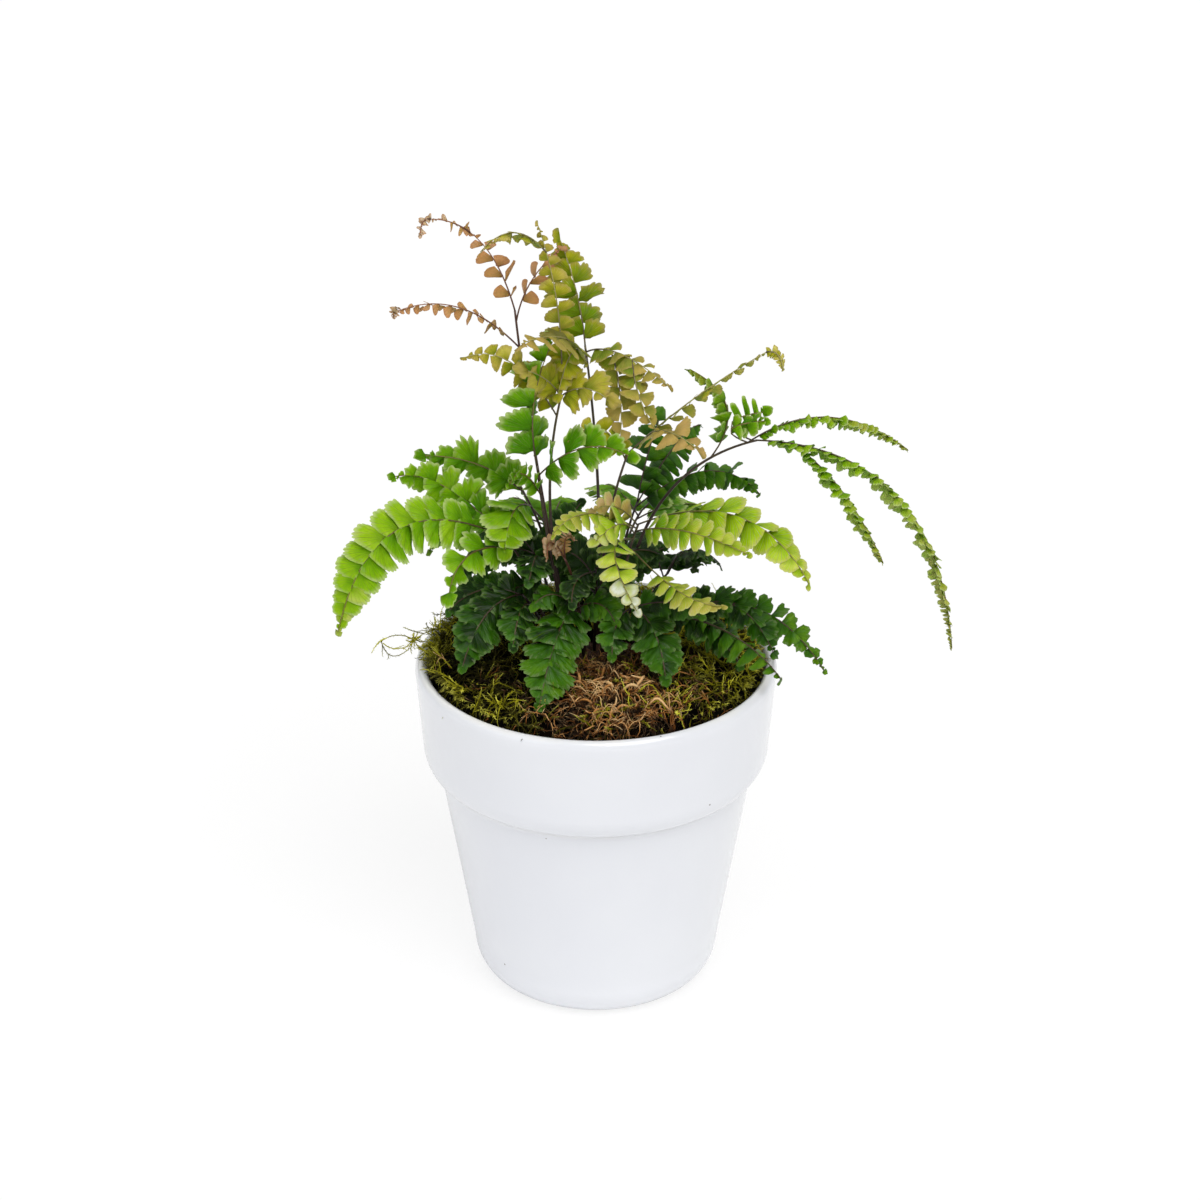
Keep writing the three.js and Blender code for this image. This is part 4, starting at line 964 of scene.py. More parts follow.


# Where a frond low in the plant or deep inside it has its youth set low, down to below 0, this is painted
# shade for the shade deep inside the plant.
FRONDS = {
    "rosy_tall": frond(
        "rosy_leaf", (-9, 6), (-22, 6, 77), (-30, 9, 140),
        dict(cut="slip", youth=(0.3, 0.8), blush=(0.5, 0.8)),
        pinna(1, (-36.7, 7.3, 159.4), (-45.8, 5.1, 172.1), 7.4, 4, gap=0.5),
        pinna(0.97, (-24, 13, 150), (-13, 18, 161), 7.2, 8, gap=0.4, blush=(0.7, 1)),
        pinna(0.9, (-51, 5, 143), (-74, -3, 144), 5, 7, gap=0.3, face=SKY),
        pinna(
            1, (-52.5, 3.6, 176.6), (-60, 2, 178.5), 3.6, 1, on=0, gap=1, youth=(0.7, 0.9),
            blush=(0.2, 0.2),
        ),
        pinna(1, (-62.8, 1, 177.7), (-64, 0, 173.1), 2.3, 0, on=3, youth=(1.1, 1.3), blush=(0, 0)),
        pinna(1, (-73.3, -3, 146.2), (-74.5, -3, 141.9), 2, 0, on=2, youth=(1.1, 1.2), blush=(0, 0)),
    ),
    "gold_tall": frond(
        "gold_leaf", (-6, 2), (-17, 1, 56), (-13, 3, 108),
        dict(cut="half_fan", youth=(0.25, 0.7), blush=(0.2, 0.5)),
        pinna(1, (-14, 3, 143), (-21, 2, 176), 7.6, 2, gap=0.25),
        pinna(0.84, (-30, 0, 174), (-42, -4, 168), 6, 3, on=0, face=EDGE),
        pinna(0.93, (-31, -3, 124), (-48, -7, 128), 7.5, 3, gap=0.1),
        pinna(1, (-5, -3, 114), (4, -8, 112), 10, 1, cut="fan"),
        pinna(1, (-18, -3, 117), (-25, -8, 123), 9.5, 1, cut="fan"),
    ),
    "green_inner": frond(
        "green_leaf", (-8, -4), (-17, -6, 46), (-22, -6, 84),
        dict(cut="wing", youth=(0, 0.25)),
        pinna(1, (-23, -6, 109), (-16, -2, 132), 15, 3, gap=0.1, face=RIGHT, fold=0.6),
        pinna(0.95, (-5, -15, 95), (12, -22, 95), 11.5, 3, cut="fan"),
        pinna(0.86, (-27, -14, 84), (-32, -21, 83), 6, 2, cut="saw"),
    ),
    "bronze_tall": frond(
        "gold_leaf", (0, 9), (1, 12, 61), (-4, 14, 124),
        dict(cut="half_fan", youth=(0, 0.5), blush=(0.3, 0.8)),
        pinna(1, (-7, 18, 143), (-13, 21, 163), 14, 2, cut="wing", youth=(-0.1, 0.2), blush=(0, 0.2)),
        pinna(0.98, (9, 6, 124), (27, -4, 115), 7.5, 4, face=SKY),
        pinna(0.95, (-12, -3, 134), (-27, -21, 139), 11, 6, face=SKY),
        pinna(0.3, (9, 0, 111), (9, -8, 93), 8, 2, on=1, gap=0.1),
        pinna(0.55, (16, -6, 112), (22, -12, 101), 7, 2, on=1, face=SKY, blush=(0.4, 0.7)),
        pinna(0.93, (-8.1, 6, 125.5), (-14.1, 0, 110.3), 8.5, 3, cut="fan", blush=(0, 0.3)),
    ),
    "forked": frond(
        "gold_leaf", (3, -1), (3, -4, 46), (12, -4, 88),
        dict(cut="half_fan", youth=(0.2, 0.6), blush=(0.3, 0.1)),
        pinna(1, (36, -9, 112), (62.3, -13, 132.4), 7, 8, gap=0.35, face=EDGE),
        pinna(0.14, (26, -18, 103), (37, -32, 102), 10.5, 4, on=0, face=SKY, blush=(0.7, 1)),
        pinna(0.97, (2, -6, 99), (-8, -10, 97), 6.5, 3, gap=0.2),
        pinna(1, (66.7, -13, 131.3), (68.7, -13, 125.3), 2.6, 0, on=0, youth=(0.6, 0.9), blush=(0, 0)),
    ),
    "arching_right": frond(
        "green_leaf", (9, 1), (22, -3, 63), (60, -8, 95),
        dict(cut="comb", youth=(0.5, 1.3), blush=(0, 0.7)),
        pinna(1, (112, -19, 77), (135, -22, 15), 5.6, 4, face=EDGE),
        pinna(0.97, (87, 2, 100), (118, 8, 84), 4.8, 5, face=EDGE, youth=(0.5, 0.9)),
        pinna(0.1, (91, -17, 79), (107, -28, 54), 5.4, 6, on=0, face=EDGE, youth=(0.4, 1)),
        pinna(0.84, (49, 2, 104), (35, 8, 117), 7, 6, gap=0.1, face=EDGE, youth=(0.2, 0.4)),
        pinna(0.99, (50.3, -5, 100.3), (62.3, -3, 104.3), 8, 13, gap=0.6, cut="quill", **STILL_GREEN),
        pinna(0.97, (50.1, -10, 100.4), (62.7, -10, 103.7), 7, 7, face=LIFTED, **STILL_GREEN),
    ),
    "shaded_back": frond(
        "deep_leaf", (5, 9), (9, 17, 30), (16, 22, 56),
        dict(cut="oblong", youth=(0.3, 0.6)),
        pinna(1, (19, 24, 71), (24, 27, 88), 14.5, 3, gap=0.3, cut="strap"),
        pinna(0.96, (42, 24, 68), (63, 18, 61), 8.5, 5, face=SKY, cut="comb"),
        pinna(0.98, (31, 34, 75), (41, 46, 78), 9, 5, face=SKY, cut="strap"),
    ),
    "lime_right": frond(
        "lime_leaf", (7, -6), (10, -8, 35), (16, -9, 61),
        dict(cut="round", youth=(0.1, 0.55), blush=(0, 0.1)),
        pinna(1, (53, -24, 71), (79, -38, 50), 13, 8, face=LIFTED, fold=0.42),
        pinna(0.95, (33, -30, 68), (56, -42, 64), 8.5, 6, gap=0.1, blush=(0.3, 0.3)),
        pinna(0.9, (7, -27, 57), (15, -42, 41), 9, 6, gap=0.25, youth=(0, 1.25)),
        pinna(
            0.84, (31.3, -34, 44.8), (46.6, -43, 43.5), 7.5, 18, face=LIFTED, youth=(0.3, 0.6),
            blush=(0.3, 0.8),
        ),
        pinna(0.97, (-3, -21, 71), (-16, -31, 67), 7, 6, gap=0.1, face=SKY, blush=(0.3, 0.6)),
        pinna(
            0.99, (7.5, -16, 71.4), (-0.7, -20, 71.6), 6.5, 4, gap=0.15, youth=(0.5, 0.9),
            blush=(0.8, 1.1),
        ),
        pinna(0.93, (9, -20, 66.2), (0, -28, 63), 9, 7, gap=0.1, youth=(0.2, 0.9)),
    ),
    "young_coil": frond(
        "rosy_leaf", (-4, -7), (-7, -11, 30), (-12, -17, 51),
        dict(cut="round", youth=(0.8, 1.1), blush=(0.3, 0.3)),
        pinna(1, (-17.2, -20, 58.8), (-17.9, -24, 53.7), 3, 1, gap=0.1),
        pinna(0.98, (-11.2, -20, 60.5), (-8.2, -23, 60.6), 2.6, 2, gap=0.1, youth=(0.7, 1)),
        pinna(0.99, (-14.9, -21, 58), (-14.2, -23, 54), 2.4, 1, gap=0.1),
    ),
    "front": frond(
        "deep_leaf", (-3, -11), (-6, -13, 16), (-8, -15, 30),
        dict(cut="wavy", youth=(0.2, 0.5)),
        pinna(1, (-15, -32, 24), (-21, -50, 6), 14, 1),
        pinna(0.97, (-16, -18, 36), (-23, -22, 34), 8.5, 2, face=SKY),
        pinna(0.94, (1, -22, 34), (7, -29, 30), 8.5, 2),
    ),
    "front_left": frond(
        "deep_leaf", (-12, -7), (-20, -9, 18), (-28, -10, 32),
        dict(cut="wavy", youth=(-0.2, 0.25)),
        pinna(1, (-41, -22, 30), (-50, -36, 15), 12, 2),
        pinna(0.98, (-43, -10, 34), (-56, -10, 25), 9, 4),
        pinna(0.8, (-28, -20, 31), (-31, -32, 22), 9.5, 4),
    ),
    "front_right": frond(
        "deep_leaf", (4, -11), (9, -15, 18), (14, -18, 31),
        dict(cut="wavy", youth=(0.1, 0.3)),
        pinna(1, (22, -28, 25), (26, -39, 12), 12, 1),
        pinna(0.97, (8, -28, 29), (6, -37, 20), 8.5, 3),
        pinna(0.96, (27, -21, 34), (39, -26, 31), 8.5, 3),
    ),
    "low_right": frond(
        "deep_leaf", (12, -4), (22, -6, 15), (32, -8, 23),
        dict(cut="saw", youth=(0.2, 0.8)),
        pinna(1, (62, -13, 27), (87, -19, 4), 7.5, 4, gap=0.15),
        pinna(0.92, (52, -25, 22), (70, -34, 8), 12, 6, gap=0.25, face=SKY, cut="strap", fold=0.9),
        pinna(0.05, (53.2, -12, 28), (67.2, -22, 13.5), 10, 2, on=0, youth=(0, 0.3)),
        pinna(0.8, (39.6, -14, 22.2), (53.9, -24, 9.8), 10, 4, youth=(-0.1, 0.3)),
    ),
    "low_back_right": frond(
        "deep_leaf", (13, 4), (20, 8, 19), (28, 11, 31),
        dict(cut="wavy", youth=(-0.2, 0.1)),
        pinna(1, (37, 13, 40), (48, 12, 34), 8, 3, face=EDGE),
        pinna(0.97, (34, 26, 33), (39, 42, 18), 11, 4, face=BACK),
        pinna(0.93, (20, 28, 38), (16, 44, 31), 10, 4, face=BACK),
    ),
    "low_inner": frond(
        "deep_leaf", (-14, 5), (-18, 6, 24), (-23, 4, 42),
        dict(cut="wavy", youth=(-0.35, 0.1)),
        pinna(1, (-39, 7, 43), (-55, 4, 33), 9.5, 4, face=SKY),
        pinna(0.95, (-23, -9, 47), (-25, -22, 44), 9.5, 4, face=SKY),
        pinna(0.9, (-36, 20, 40), (-52, 29, 27), 10, 4, face=OUT_LEFT),
        pinna(0.8, (-30, -6, 33), (-45, -10, 30), 9, 2),
        pinna(0.97, (-14, 10, 50), (-6, 16, 58), 9, 1),
        pinna(0.95, (-32, 8, 50), (-42, 8, 50), 11, 1),
    ),
    "low_centre": frond(
        "deep_leaf", (-1, 1), (0, -4, 24), (0, -10, 43),
        dict(cut="wavy", youth=(-0.45, -0.1)),
        pinna(1, (7, -22, 47), (14, -31, 41), 8.5, 3, face=SKY),
        pinna(0.96, (-7, -20, 43), (-9, -29, 38), 8, 3, face=SKY),
        pinna(0.9, (12, -4, 47), (24, -2, 45), 9, 4, face=SKY),
        pinna(0.85, (-9, -3, 46), (-20, -2, 46), 10, 2),
        pinna(0.7, (-12, 6, 36), (-28, 12, 44), 9, 2),
        pinna(0.75, (10, 6, 34), (26, 14, 40), 9, 2),
        pinna(0.6, (3, 10, 34), (4, 20, 50), 9, 2),
    ),
    "bright_left": frond(
        "green_leaf", (-15, 0), (-24, 0, 30), (-34, 0, 51),
        dict(cut="oblong", youth=(0.35, 0.9)),
        pinna(1, (-74, -18, 63), (-96.5, -34, 28.2), 14, 14),
        pinna(0.97, (-57, 9, 68), (-76, 6, 74), 11, 7, cut="saw", youth=(0.2, 0.4)),
        pinna(0.9, (-47, -16, 52), (-55, -27, 41), 12, 5, cut="fan", youth=(0.3, 0.5)),
    ),
    "bright_inner": frond(
        "green_leaf", (-10, 10), (-18, 13, 38), (-28, 14, 64),
        dict(cut="oblong", youth=(0.4, 0.7)),
        pinna(1, (-45, 17, 74), (-65, 14, 79), 11.5, 4, gap=0.1, cut="saw", youth=(0, 0.3)),
        pinna(0.9, (-31, -2, 63.2), (-34.3, -12, 51.7), 14, 4, fold=0.4),
        pinna(0.95, (-36, 28, 66), (-49, 42, 54), 11, 4, face=BACK),
    ),
    "back_left": frond(
        "green_leaf", (-5, 13), (-13, 25, 26), (-21, 36, 42),
        dict(cut="oblong", youth=(0.1, 0.5)),
        pinna(1, (-34, 60, 40), (-41, 79, 15), 14, 3, face=BACK),
        pinna(0.95, (-45, 44, 40), (-66, 46, 24), 11, 5, face=BACK),
        pinna(0.9, (-14, 54, 42), (-13, 72, 32), 10, 5, face=BACK),
    ),
    "back_right": frond(
        "green_leaf", (2, 13), (10, 30, 28), (18, 44, 42),
        dict(cut="oblong", youth=(0, 0.4)),
        pinna(1, (30, 66, 38), (36, 84, 12), 14, 3, face=BACK),
        pinna(0.95, (6, 64, 44), (1, 84, 28), 10, 5, face=BACK),
        pinna(0.92, (40, 54, 40), (59, 62, 22), 10, 5, face=BACK),
    ),
}


class Pinna:
    """A pinna's rib, the curved surface that its leaflets lie in, and their places along it."""

    def __init__(self, rib, shape, looks):
        self.rib = rib
        self.leaf = shape["leaf"]
        self.cut = CUTS[looks["cut"]]
        self.youth = looks["youth"]
        self.blush = looks.get("blush", (0, 0))
        self.fold = looks.get("fold", self.cut["fold"])
        self.filled = 1 / (1 + shape["gap"])
        spacing = self.cut["slender"] * self.leaf / self.filled
        self.count = max(3, round((rib.length - shape["bare"]) / spacing))
        crowding = np.interp(np.linspace(0, 1, self.count), (0, CROWDED_FROM, 1), (1, 1, TIP_CROWDING))
        self.shares = np.concatenate([[0], np.cumsum(crowding) / sum(crowding)])
        self.stations = shape["bare"] + (rib.length - shape["bare"]) * self.shares
        face = np.array(shape["face"])
        self.across = np.cross(rib.control - rib.start, rib.end - rib.control)
        if np.linalg.norm(self.across) < 1:
            self.across = np.cross(face, rib.end - rib.start)
        self.across /= np.linalg.norm(self.across)
        upright = np.cross(self.across, rib.tangent(rib.length / 2)[0])
        self.tilt = math.atan2(face.dot(self.across), face.dot(upright))

    def place(self, along, aside, lift):
        """Places at distances along the rib, to its side, and off the leaflets' surface."""
        tangent = self.rib.tangent(along)
        normal = np.cross(self.across, tangent) * math.cos(self.tilt) + self.across * math.sin(self.tilt)
        side = np.cross(normal, tangent)
        return self.rib.point(along) + side * aside[:, None] + normal * lift[:, None]

    def reach(self, t):
        """The length of a leaflet at a share of the way: growing at first, then dwindling."""
        return self.leaf * (FIRST_SHARE + LEAF_GAIN * t) * (1 - t**LATE_TAPER) + LAST_REACH

    def mood(self, t):
        """The youth and blush of a leaflet at a share of the way."""
        return tuple(first + (last - first) * t for first, last in (self.youth, self.blush))


def lay_out(plan):
    """A frond's stalk and its pinnae."""
    stalk = Arc((*plan["foot"], STALK_SEAT), plan["via"], plan["top"])
    pinnae = []
    for shape in plan["pinnae"]:
        carrier = stalk if shape["on"] == STALK else pinnae[shape["on"]].rib
        start = carrier.point(np.array([shape["at"] * carrier.length]))[0]
        rib = Arc(start, shape["via"], shape["tip"])
        pinnae.append(Pinna(rib, shape, {**plan["looks"], **shape["looks"]}))
    return stalk, pinnae


def add_hairs(growth, draw, curve, radius, age):
    """Short stiff hairs all round a stalk or rib."""
    count = int(curve.length * HAIRS_PER_MILLIMETRE)
    along = np.array([draw.uniform(0.02, 0.98) * curve.length for _ in range(count)])
    forward = curve.tangent(along)
    level = normalised(np.cross(forward, (0.2, 0.1, 1)))
    turns = np.array([[draw.uniform(0, 2 * math.pi)] for _ in range(count)])
    outward = np.cos(turns) * level + np.sin(turns) * np.cross(level, forward)
    roots = curve.point(along) + outward * radius * HAIR_ROOT
    lengths = [HAIR * draw.uniform(*HAIR_LENGTHS) for _ in range(count)]
    headings = normalised(outward + 0.5 * forward)
    points, faces = spikes(roots, headings, forward, lengths, HAIR_WIDTH)
    growth.add(points, faces, age=age)


def stalk_material(name, old, young):
    """A glossy wiry skin with a fine grain, dark where it is old."""
    material, start, place = new_material(name)
    grain = place.noise(650, 3, 0.6)
    age = start.value("age") + (grain - 0.5) * 0.5
    tone = age.step(0.15, 0.85).blend(paint(old), paint(young))
    skin(start, {"Base Color": tone, "Roughness": 0.28 + grain * 0.25, "Normal": start.bump(grain, 0.08)})
    return material


STALK_MATERIALS = {
    "rosy_leaf": stalk_material("rosy_stalk", old="3a1f16", young="8d5a3a"),
    "gold_leaf": stalk_material("gold_stalk", old="33201a", young="a8a05c"),
    "lime_leaf": stalk_material("lime_stalk", old="2f1d12", young="8f8a3a"),
    "green_leaf": stalk_material("green_stalk", old="2a1811", young="776a2a"),
    "deep_leaf": stalk_material("dark_stalk", old="1d120d", young="4b3a1d"),
}


def add_stem(growth, draw, curve, steps, thick, sides, ages):
    """A stalk or rib and its hairs. thick gives its radius at distances along it, and ages how
    young the foot, the tip and the hairs are."""
    along = np.linspace(0, curve.length, steps + 1)
    points, faces, share = tube(curve.point(along), np.interp(along, *zip(*thick)), sides)
    growth.add(points, faces, age=ages[0] + (ages[1] - ages[0]) * share)
    add_hairs(growth, draw, curve, thick[-1][1], ages[2])


def make_stalks(name, plan, stalk, pinnae, draw):
    growth = Growth()
    steps = max(10, round(stalk.length / STALK_STEP))
    thick = [(0, STALK_RADIUS), (STALK_EVEN, STALK_RADIUS), (stalk.length, STALK_TOP_RADIUS)]
    add_stem(growth, draw, stalk, steps, thick, STALK_SIDES, STALK_AGES)
    for rib in [grown.rib for grown in pinnae]:
        steps = max(8, round(rib.length / RIB_STEP))
        thick = [(0, RIB_RADIUS), (rib.length, RIB_TIP_RADIUS)]
        add_stem(growth, draw, rib, steps, thick, RIB_SIDES, RIB_AGES)
    slot = plan["slot"]
    growth.piece(f"{name}_stalks", STALK_MATERIALS[slot], [f"frond_{name}"])


# The leaflets: thin, stiff blades, each on a short foot at its lower inner corner, from which the
# veins fan out to a toothed outer edge. Neighbours lap over one another like shingles.
BLADE_SAG = 0.012
BLADE_THICKNESS = 0.26
EDGE_PLACES = 160  # where an edge is worked out before its teeth are cut
FULL_BITE = 11  # a leaflet this long has teeth of full size
FULL_WAVES = 12  # and one this long has full waves
WAVES = (1.8, 3)  # how many there are round its edge
CRINKLES = (1.3, 0.9)  # how close the blade's small waves lie, along the rib and out from it
TOOTH_DEPTHS = (0.45, 1.4)
DEEPEST = 0.5  # a notch against the leaflet's reach there
STAGGER = 0.2  # how far one side's leaflets are moved on, and the other's back, against their room
WIDEST = 1.1  # a leaflet's width against its length, at most
LENGTHS = (0.9, 1.06)
WIDTHS = (0.92, 1.08)
CELL_MARGIN = 0.04  # round each leaflet's place in the colour map
YOUTH_VARIES = 0.08
BLUSH_VARIES = 0.1

# How fine a leaflet's mesh is when it is longer than this: the points on a tooth, and where its
# rings of points lie between its foot and its edge
MESHES = [(9, 4, (0.3, 0.6, 0.85, 1)), (5.5, 3, (0.4, 0.78, 1)), (0, 2, (0.55, 1))]
TIP_LEAFLET = 1.15  # the leaflet at a rib's end against the last ones beside it
UNDER_RIB = 0.3  # how far the leaflets' feet lie below the rib, and reach in under it
CLEARANCE = 0.7  # between a leaflet and the moss or rim that it rests over
VEINS = (9, 18)  # how many leave its foot, and how many there are after they fork
FROND_SEED = 100

# slender: a leaflet's room against the longest one's length; width: its own against its room;
# square: how boxy it is; heel: the share of its width behind the foot; back, fore: its spread in
# degrees; toothed: the stretch of its edge with teeth; spacing, bite, blunt: of the teeth;
# ruffle, crinkle: the waves of its edge and blade; cup: how far its sides bend down; shingle: its
# slope across the rib; fold: how far it bends down from the rib; lean: how far it points towards
# the rib's tip; wild: how uneven all this is
CUTS = {
    "oblong": dict(
        slender=0.41, width=1.26, square=3, heel=0.16, back=90, fore=90, toothed=(0.28, 0.74),
        spacing=2, bite=0.7, blunt=1.8, ruffle=0.5, crinkle=0.35, cup=0.5, shingle=0.13,
        fold=0.22, lean=0.16, wild=0.1,
    ),
    "saw": dict(
        slender=0.6, width=1.22, square=2.8, heel=0.16, back=64, fore=88, toothed=(0.14, 0.92),
        spacing=3.5, bite=1.9, blunt=1.15, ruffle=1.1, crinkle=0.6, cup=0.5, shingle=0.15,
        fold=0.2, lean=0.1, wild=0.3,
    ),
    "wing": dict(
        slender=0.5, width=1.12, square=2.4, heel=0.1, back=14, fore=84, toothed=(0.25, 0.94),
        spacing=3.2, bite=1.1, blunt=1.7, ruffle=0.8, crinkle=0.45, cup=0.5, shingle=0.1,
        fold=0.35, lean=-0.1, wild=0.18,
    ),
    "fan": dict(
        slender=0.74, width=1.25, square=2.4, heel=0.22, back=60, fore=84, toothed=(0.15, 0.92),
        spacing=3, bite=1.25, blunt=1.35, ruffle=0.9, crinkle=0.5, cup=0.4, shingle=0.12,
        fold=0.2, lean=0.08, wild=0.18,
    ),
    "half_fan": dict(
        slender=0.6, width=1.1, square=2.2, heel=0.06, back=12, fore=80, toothed=(0.3, 0.9),
        spacing=1.9, bite=0.5, blunt=1.5, ruffle=0.4, crinkle=0.2, cup=0.35, shingle=0.12,
        fold=0.25, lean=-0.02, wild=0.18,
    ),
    "round": dict(
        slender=0.48, width=1.32, square=2.6, heel=0.25, back=76, fore=84, toothed=(0.25, 0.8),
        spacing=2.1, bite=0.45, blunt=2, ruffle=0.35, crinkle=0.25, cup=0.6, shingle=0.15,
        fold=0.3, lean=0.14, wild=0.14,
    ),
    "slip": dict(
        slender=0.6, width=1.0, square=2.2, heel=0.2, back=50, fore=70, toothed=(0.3, 0.8),
        spacing=1.8, bite=0.3, blunt=1.5, ruffle=0.3, crinkle=0.15, cup=0.4, shingle=0.2,
        fold=0.3, lean=0.2, wild=0.45,
    ),
    "comb": dict(
        slender=0.42, width=1.45, square=2.6, heel=0.16, back=60, fore=84, toothed=(0.25, 0.9),
        spacing=2, bite=0.7, blunt=1.2, ruffle=0.6, crinkle=0.25, cup=0.4, shingle=0.3,
        fold=0.5, lean=0.3, wild=0.26,
    ),
    "strap": dict(
        slender=0.34, width=1.1, square=2.6, heel=0.16, back=60, fore=84, toothed=(0.24, 0.8),
        spacing=2.2, bite=0.5, blunt=1.6, ruffle=0.5, crinkle=0.3, cup=0.5, shingle=0.15,
        fold=0.5, lean=-0.12, wild=0.12,
    ),
    "quill": dict(
        slender=0.22, width=1.0, square=3, heel=0.3, back=70, fore=84, toothed=(0.3, 0.8),
        spacing=1.6, bite=0.4, blunt=1.4, ruffle=0.4, crinkle=0.2, cup=0.3, shingle=0.3,
        fold=0.1, lean=0.05, wild=0.14,
    ),
    "wavy": dict(
        slender=0.42, width=1.45, square=2.8, heel=0.2, back=90, fore=90, toothed=(0.2, 0.85),
        spacing=2.7, bite=1.05, blunt=1.2, ruffle=1.1, crinkle=0.6, cup=0.5, shingle=0.09,
        fold=0.22, lean=0.16, wild=0.09,
    ),
}


def leaf_edge(length, width, cut, fineness, draw):
    """A leaflet's edge round its foot, as places [towards the tip, outwards], and its shares."""
    swing = np.radians(np.linspace(-cut["back"], cut["fore"], EDGE_PLACES))
    side = np.where(swing > 0, 1 - cut["heel"], cut["heel"]) * width
    square = cut["square"]
    radius = ((abs(np.sin(swing)) / side) ** square + (np.cos(swing) / length) ** square) ** (-1 / square)
    edge = np.stack([radius * np.sin(swing), radius * np.cos(swing)], 1)
    run = np.concatenate([[0], np.cumsum(np.linalg.norm(np.diff(edge, axis=0), axis=1))])
    first, last = cut["toothed"]
    teeth = max(3, round((last - first) * run[-1] / cut["spacing"]))
    plain = 2 + fineness
    share = np.concatenate([
        np.linspace(0, first, plain, endpoint=False),
        np.linspace(first, last, teeth * fineness, endpoint=False),
        np.linspace(last, 1, plain),
    ])
    edge = np.stack([np.interp(share * run[-1], run, edge[:, k]) for k in (0, 1)], 1)
    place = np.clip((share - first) / (last - first), 0, 1) * teeth
    depths = [0, *(draw.uniform(*TOOTH_DEPTHS) for _ in range(1, teeth)), 0]
    notch = abs(place % 1 * 2 - 1) ** cut["blunt"] * np.interp(place, range(teeth + 1), depths)
    bite = cut["bite"] * min(1, length / FULL_BITE) / np.linalg.norm(edge, axis=1)
    return edge * (1 - np.minimum(DEEPEST, bite * notch))[:, None], share


def leaflet_faces(rings, columns):
    """The faces of one side of a leaflet: a fan at its foot, then rings out to its edge."""
    faces = [(0, 1 + j, 2 + j) for j in range(columns)]
    for k in range(rings - 1):
        low = 1 + k * (columns + 1)
        high = low + columns + 1
        faces += [(low + j, high + j, high + j + 1, low + j + 1) for j in range(columns)]
    return faces


def add_leaflet(growth, grown, along, aside, lift, share, ring, cell, cells, **moods):
    """Both sides of a leaflet, which meet at its edge, with their cells in the colour map."""
    rows = math.ceil(math.sqrt(2 * cells))
    thick = BLADE_THICKNESS / 2 * (1 - ring**2) * np.sqrt(np.sin(math.pi * share))
    ring_count = len(np.unique(ring)) - 1
    faces = leaflet_faces(ring_count, (len(ring) - 1) // ring_count - 1)
    for upper in (True, False):
        points = grown.place(along, aside, lift + (thick if upper else -thick))
        floor = ground(points[:, 0], points[:, 1]) + CLEARANCE
        points[:, 2] = np.where(points[:, 2] < floor, floor, points[:, 2])
        number = 2 * cell + (not upper)
        corner = np.array([number % rows, number // rows])
        growth.add(
            points,
            faces if (aside[-1] > 0) != upper else [face[::-1] for face in faces],
            blade=np.stack([share + (not upper), ring], 1),
            OFBake=(corner + CELL_MARGIN + (1 - 2 * CELL_MARGIN) * np.stack([share, ring], 1)) / rows,
            **moods,
        )


def make_leaflet(growth, grown, i, side, draw, cell, cells):
    """Leaflet i on one side of the rib, or the one at its end where side is 0."""
    cut = grown.cut
    if side:
        first = i + STAGGER * side
        start, end = np.interp([first, first + 1], range(grown.count + 1), grown.stations)
        t = (grown.shares[i] + grown.shares[i + 1]) / 2
        length = grown.reach(t) * draw.uniform(*LENGTHS)
        room = (grown.stations[i + 1] - grown.stations[i]) * grown.filled
        width = min(room * cut["width"] * draw.uniform(*WIDTHS), length * WIDEST)
    else:
        cut = dict(cut, heel=0.5)
        t = 1
        length = width = TIP_LEAFLET * grown.reach(grown.shares[-2])
    fineness, rings = next(mesh for least, *mesh in MESHES if length > least)
    edge, share = leaf_edge(length, width, cut, fineness, draw)
    ring = np.concatenate([[0], np.repeat(rings, len(share))])
    share = np.concatenate([[0.5], np.tile(share, len(rings))])
    forward, out = (ring[:, None] * np.concatenate([[(0, 0)], np.tile(edge, (len(rings), 1))])).T

    size = min(1, length / FULL_WAVES)
    middle = width * (0.5 - cut["heel"])
    phases = [draw.uniform(0, 2 * math.pi) for _ in range(3)]
    waves = 2 * math.pi * draw.uniform(*WAVES)
    lift = -cut["cup"] * ring * (2 * (forward - middle) / width) ** 2 * min(1, width / 6)
    lift += cut["ruffle"] * size * ring**3 * np.sin(waves * share + phases[0])
    crinkle = np.sin(CRINKLES[0] * forward + phases[1]) * np.sin(CRINKLES[1] * out + phases[2])
    lift += cut["crinkle"] * size * crinkle
    lift -= BLADE_SAG * out**2 + UNDER_RIB
    roll = cut["shingle"] + draw.gauss(0, cut["wild"])
    fold = grown.fold + draw.gauss(0, cut["wild"])
    forward, lift = forward * math.cos(roll) - lift * math.sin(roll), lift + forward * math.sin(roll)
    out, lift = out * math.cos(fold) + lift * math.sin(fold), lift - out * math.sin(fold)

    youth, blush = grown.mood(t)
    moods = dict(
        youth=youth + draw.uniform(-YOUTH_VARIES, YOUTH_VARIES),
        blush=blush + draw.uniform(-BLUSH_VARIES, BLUSH_VARIES),
        luck=draw.random(),
    )
    if side:
        lean = cut["lean"] + draw.gauss(0, 0.5 * cut["wild"])
        along = start + cut["heel"] * (end - start) + forward + lean * out
        aside = side * (out - UNDER_RIB)
    else:
        along = grown.rib.length - UNDER_RIB + out
        aside = forward - middle
    add_leaflet(growth, grown, along, aside, lift, share, ring, cell, cells, **moods)


